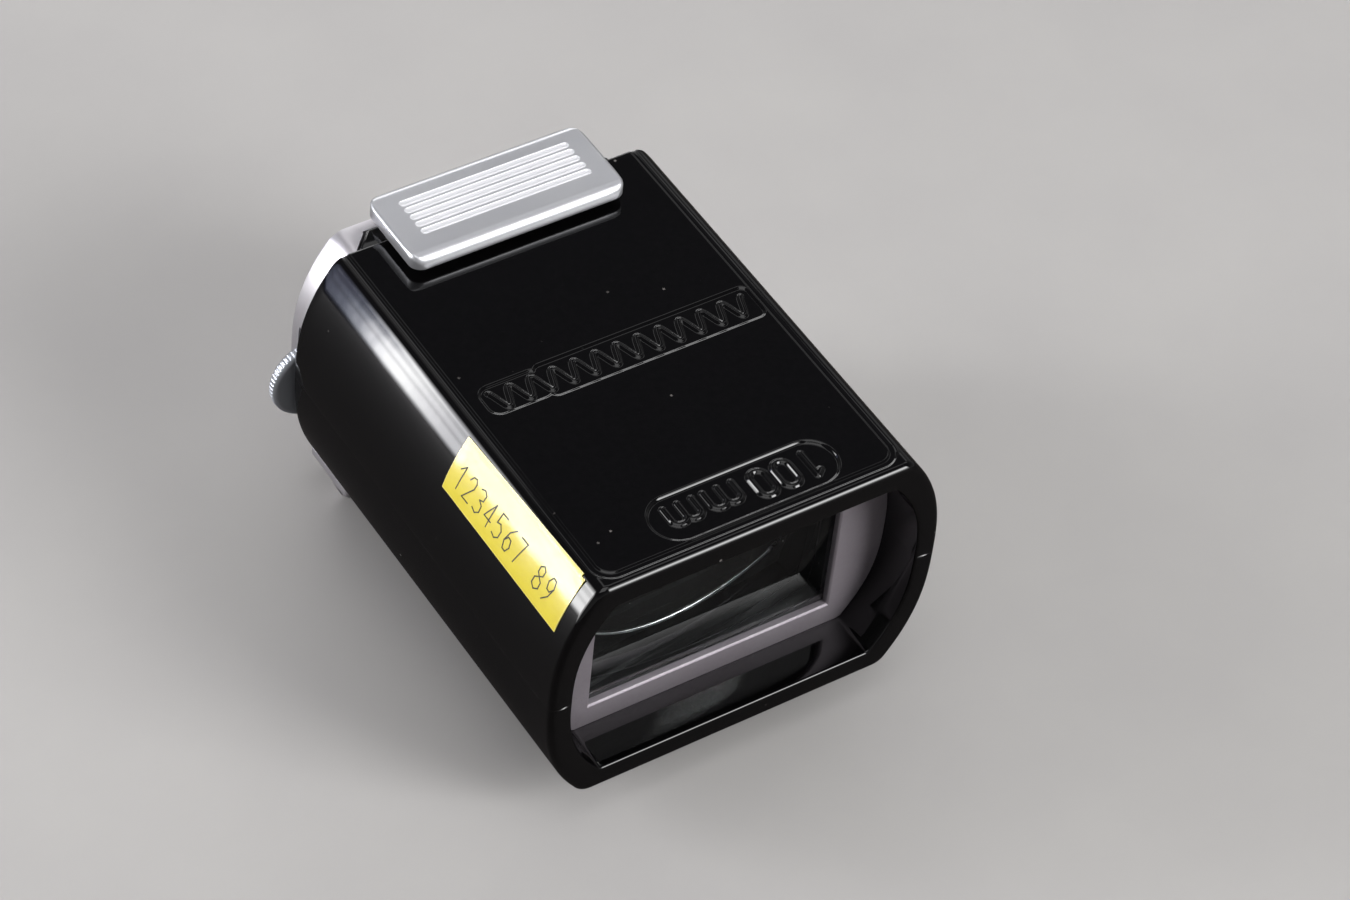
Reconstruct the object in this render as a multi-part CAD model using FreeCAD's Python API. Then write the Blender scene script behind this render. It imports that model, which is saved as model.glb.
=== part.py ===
import FreeCAD, Part
import math
import os

# Shoe-mounted viewfinder with a deep front hood, in millimetres.
# The pieces are modelled with y = 0 at the hood's front face, z = 0 at the flat top and x = 0
# in the middle: X to the right, +Y towards the eye end, +Z up.
# On export the origin moves to the centre of the underside of the shoe foot.
Vector = FreeCAD.Vector

# ---- body ----
TOP_Z = 32.9             # top face above the underside of the foot
BODY_L = 48.6            # hood face to eye end
BODY_H = 28.4            # top face to bottom face
BOTTOM_Z = -BODY_H
SEAM_Z = -BODY_H / 2.0   # parting line, also the height of the optical axis
HALF_FLAT = 16.95        # half width of the flat top, to the sharp corner
HALF_MID = 21.43         # half width at the seam
CORNER_R = 2.0
BULGE = 2.63             # exponent of the side curve
FIT = 0.04               # gap round the pieces set into the body
RUN = 0.05               # radial running clearance
BOSSES = [(x, y) for y in (17.0, 36.5) for x in (-14.0, 14.0)]
STRAP_SCREWS = [(-6.5, 20.8), (6.5, 20.8)]

# ---- front optics ----
FRAME_Y, FRAME_T = 5.2, 0.8     # front face and thickness of the window frame
WINDOW_X, WINDOW_Z = 13.5, 8.8  # half window
LENS_Y = FRAME_Y + FRAME_T
LENS_T = 3.0
MASK_Y = 12.0
BAFFLE_X, BAFFLE_Z = 11.2, 9.9  # half width and half height
BAFFLE_WALL = 0.8

# ---- eyepiece and thumb slide ----
EYE_R = 8.0
STEM_X = -0.4
STEM_Y0, STEM_Y1 = 45.3, 46.5
STEM_HALF = 4.1
SLIDE_TRAVEL = 2.0
CAP_X0, CAP_X1 = -12.05, 11.75
CAP_Y0, CAP_Y1 = 42.4, 52.65
CAP_Z0, CAP_Z1 = 0.8, 2.4
SLIDE_PINS = [(STEM_X + dx, (STEM_Y0 + STEM_Y1) / 2.0) for dx in (-3.0, 3.0)]

# ---- parallax wheel ----
WHEEL_X, WHEEL_Y, WHEEL_Z = -18.55, 49.45, -16.85
WHEEL_R, WHEEL_T = 4.6, 1.35
WHEEL_BOSS_X, WHEEL_BOSS_R = WHEEL_X + 0.3, 2.0
WHEEL_SCREW_R = 0.8
DRIVE_X, DRIVE_R = WHEEL_X + 2.4, 0.6   # drive pin on the wheel

# ---- shoe bracket, hinge and foot ----
PLATE_Y, PLATE_T = 50.9, 1.2
PLATE_BACK = PLATE_Y + PLATE_T
BASE_Z, BASE_T = -30.0, 0.9
BASE_TOP = BASE_Z + BASE_T
HINGE_Y, HINGE_Z = 28.0, -29.6
PIN_R, KNUCKLE_R = 0.6, 1.15
STRAP_KNUCKLE_X, BRACKET_KNUCKLE_X, HINGE_X = 4.95, 5.2, 11.4
STRAP_Z = BOTTOM_Z - 0.8   # underside of the strap
FOOT_Y = 41.5              # foot centre behind the hood's front face
FOOT_Z = -TOP_Z
FOOT_W, FOOT_L, FOOT_T = 18.6, 18.0, 1.6   # standard accessory shoe foot
NECK_W, NECK_L = 12.5, 14.0
FOOT_RIVETS = [(x, FOOT_Y + dy) for dy in (-4.6, 4.6) for x in (-4.2, 4.2)]


# ---- basic shapes ----
def box(x0, x1, y0, y1, z0, z1):
    return Part.makeBox(x1 - x0, y1 - y0, z1 - z0, Vector(x0, y0, z0))


def axis_box(half_x, half_z, y0, y1):
    """Box centred on the optical axis."""
    return box(-half_x, half_x, y0, y1, SEAM_Z - half_z, SEAM_Z + half_z)


def cyl_x(y, z, radius, x0, x1):
    return Part.makeCylinder(radius, x1 - x0, Vector(x0, y, z), Vector(1, 0, 0))


def cyl_y(x, z, radius, y0, y1):
    return Part.makeCylinder(radius, y1 - y0, Vector(x, y0, z), Vector(0, 1, 0))


def cyl_z(x, y, radius, z0, z1):
    return Part.makeCylinder(radius, z1 - z0, Vector(x, y, z0), Vector(0, 0, 1))


def axis_cyl(radius, y0, y1):
    """Cylinder on the optical axis."""
    return cyl_y(0, SEAM_Z, radius, y0, y1)


def axis_cone(front_r, back_r, y0, length):
    return Part.makeCone(front_r, back_r, length, Vector(0, y0, SEAM_Z), Vector(0, 1, 0))


def wheel_cyl(radius, y0, y1):
    """Cylinder on the wheel's axis."""
    return cyl_y(WHEEL_X, WHEEL_Z, radius, y0, y1)


def prism(axis, outline, start, length):
    """Polygon at start on the axis, extruded along it; points give the other two axes in order."""
    index = "xyz".index(axis)
    points = [Vector(*pair[:index], start, *pair[index:]) for pair in outline]
    face = Part.Face(Part.makePolygon(points + points[:1]))
    return face.extrude(Vector(*[length if i == index else 0 for i in range(3)]))


def strip(axis, line, rise, start, width):
    """Bent strip: a line of (place, z) points thickened by rise in z."""
    return prism(axis, line + [(place, z + rise) for place, z in reversed(line)], start, width)


def rounded(x0, x1, y0, y1, z0, z1, radius):
    """Box with rounded upright edges."""
    solid = box(x0, x1, y0, y1, z0, z1)
    upright = [e for e in solid.Edges
               if abs(e.Vertexes[0].X - e.Vertexes[1].X) < 1e-6
               and abs(e.Vertexes[0].Y - e.Vertexes[1].Y) < 1e-6]
    return solid.makeFillet(radius, upright)


def rounded_y(x0, x1, half_z, centre_z, y0, y1, radius):
    """Box with its edges along y rounded."""
    solid = rounded(x0, x1, -half_z, half_z, 0, y1 - y0, radius)
    solid.rotate(Vector(0, 0, 0), Vector(1, 0, 0), 90)
    solid.translate(Vector(0, y1, centre_z))
    return solid


def stadium(x, y, length, width, z0, z1):
    radius = width / 2.0
    left, right = x - length / 2.0 + radius, x + length / 2.0 - radius
    middle = box(left, right, y - radius, y + radius, z0, z1)
    ends = [cyl_z(end, y, radius, z0, z1) for end in (left, right)]
    return middle.fuse(ends).removeSplitter()


def drill(shape, places, *bores):
    """Cut upright bores (radius, z0, z1) at each (x, y) place."""
    for x, y in places:
        for bore in bores:
            shape = shape.cut(cyl_z(x, y, *bore))
    return shape


def slotted_screw(x, y, shank, head, slot):
    """Upright screw; shank and head are (radius, z0, z1), slot is (half width, z0, z1)."""
    solid = cyl_z(x, y, *shank).fuse(cyl_z(x, y, *head)).removeSplitter()
    half, z0, z1 = slot
    return solid.cut(box(x - 2, x + 2, y - half, y + half, z0, z1))


# ---- body outline ----
def side_x(half_flat, half_mid, top_z, z):
    """Half width of the bulged side at height z."""
    depth = min(1.0, max(0.0, (top_z - z) / (top_z - SEAM_Z)))
    return half_mid - (half_mid - half_flat) * (1.0 - depth) ** BULGE


def quarter(half_flat, half_mid, top_z, radius):
    """Edges of the upper right quarter: flat, corner arc, bulged side."""
    height = top_z - SEAM_Z
    slope = (half_mid - half_flat) * BULGE / height
    angle = math.atan2(1.0, slope)
    setback = radius * math.tan(angle / 2.0)
    arc_x = half_flat - setback
    side_z = top_z - setback * math.sin(angle)
    arc_start = Vector(arc_x, 0, top_z)
    arc_end = Vector(side_x(half_flat, half_mid, top_z, side_z), 0, side_z)
    arc_mid = Vector(arc_x + radius * math.sin(angle / 2.0), 0,
                     top_z - radius + radius * math.cos(angle / 2.0))
    points = [arc_end]
    steps = 9
    for i in range(1, steps + 1):
        z = side_z + (SEAM_Z - side_z) * (1.0 - (1.0 - i / steps) ** 1.25)
        points.append(Vector(side_x(half_flat, half_mid, top_z, z), 0, z))
    start_slope = slope * (1.0 - (top_z - side_z) / height) ** (BULGE - 1.0)
    curve = Part.BSplineCurve()
    curve.interpolate(points, InitialTangent=Vector(start_slope, 0, -1),
                      FinalTangent=Vector(0, 0, -1))
    return [Part.makeLine(Vector(0, 0, top_z), arc_start),
            Part.Arc(arc_start, arc_mid, arc_end).toShape(), curve.toShape()]


def section(half_flat, half_mid, top_z, radius, y0, y1):
    """Solid with the body's form of outline, mirrored about the seam and the middle."""
    edges = quarter(half_flat, half_mid, top_z, radius)
    edges += [e.mirror(Vector(0, 0, SEAM_Z), Vector(0, 0, 1)) for e in edges]
    edges += [e.mirror(Vector(0, 0, 0), Vector(1, 0, 0)) for e in edges]
    solid = Part.Face(Part.Wire(Part.__sortEdges__(edges))).extrude(Vector(0, y1 - y0, 0))
    solid.translate(Vector(0, y0, 0))
    return solid


def outer(y0, y1, grow=0.0):
    return section(HALF_FLAT, HALF_MID + grow, grow, CORNER_R + grow, y0, y1)


def inner(y0, y1, gap=0.0):
    return section(15.2 - gap, 19.05 - gap, -2.7 - gap, 0.9, y0, y1)


# ---- outer shells ----
def body_tube():
    """Whole body before it is parted at the seam."""
    hull = outer(0.0, BODY_L)
    tube = hull.cut(inner(-1.0, BODY_L + 1.0))
    # shoulder behind the field mask
    tube = tube.fuse(inner(12.6, 13.8).cut(section(14.0, 17.8, -3.9, 0.9, 12.0, 14.5)))
    tube = tube.fuse([cyl_z(x, y, 2.3, BOTTOM_Z + 1.0, -1.0) for x, y in BOSSES])
    wheel_boss = cyl_y(WHEEL_BOSS_X, WHEEL_Z, WHEEL_BOSS_R, 39.5, BODY_L)
    return tube.fuse(wheel_boss.common(hull))


def soften_front(shell):
    """Round the outer front edges."""
    edges = []
    for edge in shell.Edges:
        bound = edge.BoundBox
        on_outside = (abs(bound.ZMax) < 0.01 or abs(bound.ZMin + BODY_H) < 0.01
                      or max(abs(bound.XMin), abs(bound.XMax)) > 19.9)
        if bound.YMax < 0.01 and on_outside:
            edges.append(edge)
    # guards against the fillet failing on the spline sides: the shell then stays sharp
    try:
        softened = shell.makeFillet(0.35, edges)
        if softened.isValid() and softened.Volume > 0:
            return softened
    except Exception:
        pass
    return shell


def chamfer_seam(shell, rise):
    """Small chamfer along the parting line; rise is its signed height."""
    for side in (-1, 1):
        outline = [(side * 21.6, SEAM_Z), (side * 21.26, SEAM_Z), (side * 21.6, SEAM_Z + rise)]
        shell = shell.cut(prism("y", outline, -1, 60))
    return shell


def size_marks():
    """Raised figures, read from the eye end: a one, two zeros and two three-stemmed letters."""
    z0, z1 = -0.34, -0.04
    stroke = 0.42
    half = stroke / 2
    y0, y1 = 3.05, 6.45
    one_x = 8.35
    marks = [box(one_x - half, one_x + half, y0, y1, z0, z1),
             box(one_x - half, one_x + 0.75, y0, 3.45, z0, z1),
             box(one_x - 0.6, one_x + 0.6, 6.1, y1, z0, z1)]
    for x in (5.8, 3.2):
        oval = rounded(x - 1.0, x + 1.0, y0, y1, z0, z1, 0.95)
        marks.append(oval.cut(rounded(x - 1.0 + stroke, x + 1.0 - stroke,
                                      y0 + stroke, y1 - stroke, z0 - 1, z1 + 1, 0.52)))
    for x in (-0.9, -5.2):
        for dx in (-1.5, 0.0, 1.5):
            marks.append(box(x + dx - half, x + dx + half, 4.0, y1, z0, z1))
        marks.append(rounded(x - 1.5 - half, x + 1.5 + half, 3.75, 4.25, z0, z1, 0.2))
    return marks


def band_ribs():
    """Ribs slanted alternately, making a zigzag along the ornamental band."""
    ribs = []
    for i in range(23):
        rib = box(-0.2, 0.2, -1.55, 1.55, -0.32, -0.03)
        rib.rotate(Vector(0, 0, 0), Vector(0, 0, 1), 24 if i % 2 == 0 else -24)
        rib.translate(Vector(-13.4 + i * 1.28, 25.15, 0))
        ribs.append(rib)
    return ribs


def upper_shell():
    shell = body_tube().common(box(-30, 30, -1, 60, SEAM_Z, 5))
    # rear tongue under the thumb slide, with chamfered corners
    tongue = [(-14.4, 47.6), (-14.4, BODY_L), (-12.6, 50.6),
              (11.8, 50.6), (13.4, BODY_L), (13.4, 47.6)]
    shell = shell.fuse(prism("z", tongue, 0, -2.2)).removeSplitter()
    # groove round the flat top, open at the eye end
    groove = rounded(-16.0, 16.0, 1.0, 70.0, -0.22, 1.0, 2.0)
    groove = groove.cut(rounded(-15.2, 15.2, 1.8, 70.0, -1.0, 2.0, 1.3))
    shell = shell.cut(groove.common(box(-20, 20, 0, 49.0, -1, 2)))
    # recess with the size marks
    shell = shell.cut(stadium(1.1, 4.75, 20.0, 5.5, -0.32, 1.0))
    shell = shell.fuse(size_marks()).removeSplitter()
    # ornamental band: shallow recess, narrower at its left end
    shell = shell.cut(rounded(-8.2, 15.6, 23.0, 27.3, -0.3, 1.0, 0.8))
    shell = shell.cut(rounded(-14.4, -7.6, 23.4, 27.0, -0.3, 1.0, 0.8))
    shell = shell.fuse(band_ribs()).removeSplitter()
    # slot for the slide stem
    slot_half = STEM_HALF + 0.2
    shell = shell.cut(rounded(STEM_X - slot_half, STEM_X + slot_half,
                              STEM_Y0 - SLIDE_TRAVEL - 0.1, STEM_Y1 + 0.25, -6.0, 1.0, 0.6))
    shell = drill(shell, BOSSES, (0.85, SEAM_Z - 1, -6.0))
    return chamfer_seam(soften_front(shell), 0.3)


def lower_shell():
    shell = body_tube().common(box(-30, 30, -1, 60, -40, SEAM_Z))
    # clearance hole and head recess for each shell screw
    shell = drill(shell, BOSSES, (1.1, BOTTOM_Z - 1, SEAM_Z + 1),
                  (1.95, BOTTOM_Z - 1, BOTTOM_Z + 1.2))
    shell = shell.cut(wheel_cyl(WHEEL_SCREW_R + 0.02, 41.0, 60.0))
    # pads and holes for the strap screws
    for x, y in STRAP_SCREWS:
        shell = shell.fuse(cyl_z(x, y, 1.9, -26.0, -24.3))
    shell = drill(shell.removeSplitter(), STRAP_SCREWS, (0.72, BOTTOM_Z - 1, -24.7))
    return chamfer_seam(soften_front(shell), -0.3)


def shell_screws():
    """Screws sunk in from below."""
    return Part.makeCompound([
        slotted_screw(x, y, shank=(0.8, BOTTOM_Z + 1.0, -7.0),
                      head=(1.85, BOTTOM_Z + 0.2, BOTTOM_Z + 1.2),
                      slot=(0.2, BOTTOM_Z, BOTTOM_Z + 0.7))
        for x, y in BOSSES])


# ---- front optics ----
def window_outline(grow, y):
    x, z = WINDOW_X + grow, WINDOW_Z + grow
    corners = [(-x, -z), (x, -z), (x, z), (-x, z), (-x, -z)]
    return Part.makePolygon([Vector(cx, y, SEAM_Z + dz) for cx, dz in corners])


def window_frame():
    """Frame with a bevel on the front edge of its window."""
    bevel = 0.18
    frame = inner(FRAME_Y, FRAME_Y + FRAME_T, FIT)
    frame = frame.cut(axis_box(WINDOW_X, WINDOW_Z, FRAME_Y - 1, FRAME_Y + 3))
    outlines = [window_outline(bevel, FRAME_Y), window_outline(0.0, FRAME_Y + bevel)]
    return frame.cut(Part.makeLoft(outlines, True))


def front_lens():
    """Rectangular lens, hollow at the back."""
    radius, hollow = 70.0, 1.9
    lens = axis_box(14.4, 9.7, LENS_Y, LENS_Y + LENS_T)
    centre = Vector(0, LENS_Y + LENS_T + radius - hollow, SEAM_Z)
    return lens.cut(Part.makeSphere(radius, centre))


def lens_spacer():
    return inner(LENS_Y + LENS_T, MASK_Y, FIT).cut(axis_box(13.4, 9.0, 0, 30))


def field_mask():
    """Mask whose barrel-shaped opening offsets the lens distortion."""
    arc_r, arc_offset = 17.4, 7.2
    hole = cyl_y(0, SEAM_Z + arc_offset, arc_r, 11, 14)
    hole = hole.common(cyl_y(0, SEAM_Z - arc_offset, arc_r, 11, 14))
    hole = hole.common(box(-12.6, 12.6, 11, 14, -30, 0))
    return inner(MASK_Y, MASK_Y + 0.55, FIT).cut(hole)


def light_baffle():
    """Rectangular tube with inner ribs, flanged against the shoulder."""
    bore = axis_box(BAFFLE_X - BAFFLE_WALL, BAFFLE_Z - BAFFLE_WALL, 13, 36.5)
    tube = axis_box(BAFFLE_X, BAFFLE_Z, 13.9, 35.6).cut(bore)
    ribs = []
    for i in range(6):
        y = 16.0 + i * 3.4
        rib = axis_box(BAFFLE_X - 0.1, BAFFLE_Z - 0.1, y, y + 0.6)
        ribs.append(rib.cut(axis_box(BAFFLE_X - 1.8, BAFFLE_Z - 1.8, y - 1, y + 2)))
    return tube.fuse(ribs).fuse(inner(13.85, 14.5, 0.06).cut(bore)).removeSplitter()


# ---- eyepiece carriage and thumb slide ----
def eyepiece_carriage():
    """Block with a stepped bore for the lens and a stem up to the thumb slide."""
    block = rounded_y(-10.8, 10.8, 9.9, SEAM_Z, 40.2, STEM_Y1, 1.5)
    block = block.cut(axis_cyl(EYE_R - 1.0, 30, 60)).cut(axis_cyl(EYE_R, 42.6, 60))
    stem = rounded(STEM_X - STEM_HALF, STEM_X + STEM_HALF, STEM_Y0, STEM_Y1, -6.0, CAP_Z0, 0.5)
    return drill(block.fuse(stem).removeSplitter(), SLIDE_PINS, (0.42, -3.4, 2.0))


def eyepiece_lens():
    """Round lens, flat in front and domed towards the eye."""
    back_y, radius = 45.0, 40.0
    dome = Part.makeSphere(radius, Vector(0, back_y - radius, SEAM_Z))
    return axis_cyl(EYE_R - 0.05, 42.65, back_y).common(dome)


def eyepiece_ring():
    """Ring behind the eyepiece lens, notched at top and bottom on its rear side."""
    bore = axis_cyl(EYE_R - 1.0, 40, 50)
    notched = axis_cyl(EYE_R - 0.03, 45.02, 46.1).cut(bore).cut(axis_box(0.5, 9, 44, 50))
    plain = axis_cyl(EYE_R - 0.03, 45.02, 45.5).cut(bore)
    return notched.fuse(plain).removeSplitter()


def flute(y):
    """Round-ended cutter for one finger groove."""
    x0, x1, radius = -9.1, 9.05, 0.55
    diagonal = radius * math.sqrt(0.5)
    left = Part.Arc(Vector(x0 - radius, 0, 0), Vector(x0 - diagonal, 0, diagonal),
                    Vector(x0, 0, radius))
    right = Part.Arc(Vector(x1, 0, radius), Vector(x1 + diagonal, 0, diagonal),
                     Vector(x1 + radius, 0, 0))
    wire = Part.Wire([left.toShape(),
                      Part.makeLine(Vector(x0, 0, radius), Vector(x1, 0, radius)),
                      right.toShape(),
                      Part.makeLine(Vector(x1 + radius, 0, 0), Vector(x0 - radius, 0, 0))])
    cutter = Part.Face(wire).revolve(Vector(0, 0, 0), Vector(1, 0, 0), 360)
    cutter.translate(Vector(0, y, CAP_Z1 + 0.38))
    return cutter


def thumb_slide():
    cap = box(CAP_X0, CAP_X1, CAP_Y0, CAP_Y1, CAP_Z0, CAP_Z1)
    # round over the long top edges, then the corners in plan
    cap = cap.makeFillet(1.2, [e for e in cap.Edges if e.BoundBox.ZMin > CAP_Z1 - 0.01
                               and e.BoundBox.XLength > 10])
    cap = cap.common(rounded(CAP_X0, CAP_X1, CAP_Y0, CAP_Y1, CAP_Z0 - 1, CAP_Z1 + 1, 1.6))
    bevel = 0.28
    for side, end in ((-1, CAP_X0), (1, CAP_X1)):
        inset = end - side * bevel
        outline = [(end + side, CAP_Z1 + 1), (inset, CAP_Z1 + 1), (inset, CAP_Z1),
                   (end, CAP_Z1 - bevel), (end + side, CAP_Z1 - bevel)]
        cap = cap.cut(prism("y", outline, 0, 80))
    for i in range(5):
        cap = cap.cut(flute(45.75 + i * 1.06))
    return drill(cap, SLIDE_PINS, (0.42, 0, 1.6))


def slide_pins():
    return Part.makeCompound([cyl_z(x, y, 0.4, -3.2, 1.5) for x, y in SLIDE_PINS])


def slide_spring():
    """Bowed leaf spring under the thumb slide."""
    high, low = CAP_Z0 - 0.03, 0.22
    line = [(-9.0, high), (-8.0, high), (-2.0, low), (1.2, low), (7.2, high), (8.2, high)]
    return strip("y", line, -0.12, 47.2, 1.3)


def rear_wall():
    """Closing wall with a flared eye window and a hole for the wheel boss."""
    wall = inner(47.0, 48.5, FIT).cut(axis_cyl(EYE_R - 0.6, 40, 60))
    wall = wall.cut(axis_cone(EYE_R - 0.6, EYE_R + 0.6, 47.3, 1.2))
    return wall.cut(cyl_y(WHEEL_BOSS_X, WHEEL_Z, WHEEL_BOSS_R + 0.06, 40, 60))


# ---- parallax wheel ----
def parallax_wheel():
    """Wheel with a grooved rim, a recess for the screw head and a drive pin at the back."""
    wheel = wheel_cyl(WHEEL_R, WHEEL_Y, WHEEL_Y + WHEEL_T)
    rims = [e for e in wheel.Edges if e.Length > 2 * math.pi * WHEEL_R - 0.1]
    wheel = wheel.makeFillet(0.55, rims)
    count, groove_ring = 60, WHEEL_R + 0.12
    grooves = []
    for i in range(count):
        angle = 2 * math.pi * i / count
        grooves.append(cyl_y(WHEEL_X + groove_ring * math.cos(angle),
                             WHEEL_Z + groove_ring * math.sin(angle),
                             0.2, WHEEL_Y - 1, WHEEL_Y + WHEEL_T + 1))
    wheel = wheel.cut(grooves)
    wheel = wheel.cut(wheel_cyl(WHEEL_SCREW_R + RUN, WHEEL_Y - 1, WHEEL_Y + 3))
    wheel = wheel.cut(wheel_cyl(1.65, WHEEL_Y + 0.7, WHEEL_Y + 3))
    drive_pin = cyl_y(DRIVE_X, WHEEL_Z, DRIVE_R, WHEEL_Y + 0.9, PLATE_BACK - 0.1)
    return wheel.fuse(drive_pin).removeSplitter()


def wheel_screw():
    head = wheel_cyl(1.55, WHEEL_Y + 0.75, WHEEL_Y + WHEEL_T - 0.05)
    screw = wheel_cyl(WHEEL_SCREW_R, 42.0, WHEEL_Y + 0.8).fuse(head).removeSplitter()
    return screw.cut(box(WHEEL_X - 2, WHEEL_X + 2, WHEEL_Y + 1.0, WHEEL_Y + 3,
                         WHEEL_Z - 0.2, WHEEL_Z + 0.2))


def wheel_washer():
    washer = wheel_cyl(1.6, BODY_L + 0.02, WHEEL_Y - 0.03)
    return washer.cut(wheel_cyl(WHEEL_SCREW_R + RUN, 40, 60))


# ---- shoe bracket ----
def bracket_lug(side):
    """Lug below the base, almost level with the underside of the foot."""
    top, low = BASE_Z + 0.5, FOOT_Z + 0.1
    outline = [(side * 17.4, top), (side * 16.3, low), (side * 12.8, low), (side * 12.4, top)]
    lug = prism("y", outline, 47.3, 1.2)
    corners = [e for e in lug.Edges if e.BoundBox.ZMax < FOOT_Z + 0.5
               and e.BoundBox.YLength > 1.1 and e.BoundBox.XLength < 0.2]
    return lug.makeFillet(0.8, corners)


def shoe_bracket():
    """Upright plate behind the body, joined to a base that runs forward to the hinge."""
    plate = section(15.3, 19.8, -0.45, 2.6, PLATE_Y, PLATE_BACK)
    # rim folded forward round the upper left of the plate; it stops above the wheel
    rim = section(15.3, 19.8, -0.45, 2.6, BODY_L + 0.25, PLATE_Y + 0.1)
    rim = rim.cut(section(14.4, 18.9, -1.35, 1.8, 40.0, 60.0))
    rim_plan = [(-25, BODY_L), (-14.75, BODY_L), (-14.75, BODY_L + 0.25),
                (-12.95, 50.7), (-12.95, 52), (-25, 52)]
    plate = plate.fuse(rim.common(prism("z", rim_plan, 0, -10.3)))
    plate = plate.fuse(box(-17.2, 17.2, PLATE_Y, PLATE_BACK, BASE_Z, SEAM_Z - 8.0))
    # upper right corner cut away
    corner = [(10.8, 1), (10.8, -0.7), (17.6, -7.4), (22, -9.0), (22, 1)]
    plate = plate.cut(prism("y", corner, 40, 30))
    for side in (-1, 1):
        plate = plate.fuse(bracket_lug(side))
    plate = plate.cut(axis_cyl(EYE_R + 0.7, 40, 60))
    # slot for the wheel's drive pin
    plate = plate.cut(rounded_y(DRIVE_X - 1.2, DRIVE_X + 1.1, 0.7, WHEEL_Z, 50, 54, 0.6))
    base = rounded(-HINGE_X, HINGE_X, HINGE_Y, 45.0, BASE_Z, BASE_TOP, 0.01)
    base = base.fuse(rounded(-17.4, 17.4, 44.6, PLATE_BACK, BASE_Z, BASE_TOP, 0.6))
    # notch the base at the hinge so the strap knuckle clears it
    base = base.cut(box(-BRACKET_KNUCKLE_X, BRACKET_KNUCKLE_X,
                        HINGE_Y - 2, HINGE_Y + 1.6, -32, -28))
    knuckles = [cyl_x(HINGE_Y, HINGE_Z, KNUCKLE_R, x0, x1)
                for x0, x1 in ((-HINGE_X, -BRACKET_KNUCKLE_X), (BRACKET_KNUCKLE_X, HINGE_X))]
    bracket = plate.fuse([base] + knuckles).removeSplitter()
    bracket = bracket.cut(cyl_x(HINGE_Y, HINGE_Z, PIN_R + 0.02, -20, 20))
    return drill(bracket, FOOT_RIVETS, (0.95, -35, -25))


def eye_ring():
    """Flanged, flared ring in the opening of the bracket."""
    ring = axis_cyl(EYE_R + 0.66, PLATE_Y - 0.3, PLATE_BACK)
    ring = ring.fuse(axis_cyl(EYE_R + 2.3, PLATE_BACK, PLATE_BACK + 1.1)).removeSplitter()
    ring = ring.cut(axis_cyl(EYE_R - 0.6, 40, 60))
    return ring.cut(axis_cone(EYE_R - 0.6, EYE_R + 1.2, PLATE_BACK - 0.2, 1.3))


# ---- tilt hinge ----
def hinge_pin():
    return cyl_x(HINGE_Y, HINGE_Z, PIN_R, -11.3, 11.3)


def hinge_strap():
    """Strap under the lower shell, narrowed to a knuckle at the hinge."""
    knuckle_x = STRAP_KNUCKLE_X
    strap = rounded(-9.0, 9.0, 17.6, HINGE_Y, STRAP_Z, BOTTOM_Z, 0.01)
    for x0, x1 in ((-10, -knuckle_x), (knuckle_x, 10)):
        strap = strap.cut(box(x0, x1, 24.5, 30, -32, -28))
    strap = strap.cut(box(-5, 5, HINGE_Y - 0.9, HINGE_Y + 2, -28.55, -27))
    knuckle = cyl_x(HINGE_Y, HINGE_Z, KNUCKLE_R, -knuckle_x, knuckle_x)
    strap = strap.fuse(knuckle).removeSplitter()
    strap = strap.cut(cyl_x(HINGE_Y, HINGE_Z, PIN_R + RUN, -20, 20))
    return drill(strap, STRAP_SCREWS, (0.8, -35, -20))


def strap_screws():
    return Part.makeCompound([
        slotted_screw(x, y, shank=(0.7, STRAP_Z, -24.9), head=(1.5, STRAP_Z - 0.7, STRAP_Z),
                      slot=(0.18, BOTTOM_Z - 2, BOTTOM_Z - 1.15))
        for x, y in STRAP_SCREWS])


def tilt_spring():
    """Bowed strip on the bracket base."""
    line = [(34.6, BASE_TOP), (36.0, BASE_TOP), (40.0, BASE_TOP + 0.4),
            (44.0, BASE_TOP), (45.4, BASE_TOP)]
    return strip("x", line, 0.15, -2.5, 5.0)


# ---- shoe foot ----
def shoe_foot():
    foot = rounded(-FOOT_W / 2, FOOT_W / 2, FOOT_Y - FOOT_L / 2, FOOT_Y + FOOT_L / 2,
                   FOOT_Z, FOOT_Z + FOOT_T, 0.8)
    foot = foot.makeChamfer(0.3, [e for e in foot.Edges if e.BoundBox.ZMax < FOOT_Z + 0.01])
    neck = box(-NECK_W / 2, NECK_W / 2, FOOT_Y - NECK_L / 2, FOOT_Y + NECK_L / 2,
               FOOT_Z + FOOT_T, BASE_Z)
    foot = foot.fuse(neck).removeSplitter()
    return drill(foot, FOOT_RIVETS, (0.95, -35, -25), (1.7, -35, FOOT_Z + 0.8))


def foot_rivets():
    """Shank, head sunk in the foot and closed head over the base."""
    rivets = []
    for x, y in FOOT_RIVETS:
        shank = cyl_z(x, y, 0.9, FOOT_Z + 0.1, BASE_TOP + 0.1)
        heads = [cyl_z(x, y, 1.6, FOOT_Z + 0.1, FOOT_Z + 0.75),
                 cyl_z(x, y, 1.4, BASE_TOP, BASE_TOP + 0.38)]
        rivets.append(shank.fuse(heads).removeSplitter())
    return Part.makeCompound(rivets)


def foot_springs():
    """Two bowed strips on top of the foot, beside the neck."""
    z = FOOT_Z + FOOT_T
    line = [(FOOT_Y + dy, z + bow)
            for dy, bow in ((-7.0, 0), (-5.6, 0), (0, 0.4), (5.6, 0), (7.0, 0))]
    return Part.makeCompound([strip("x", line, 0.2, x, 1.6) for x in (-8.6, 7.0)])


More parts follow.
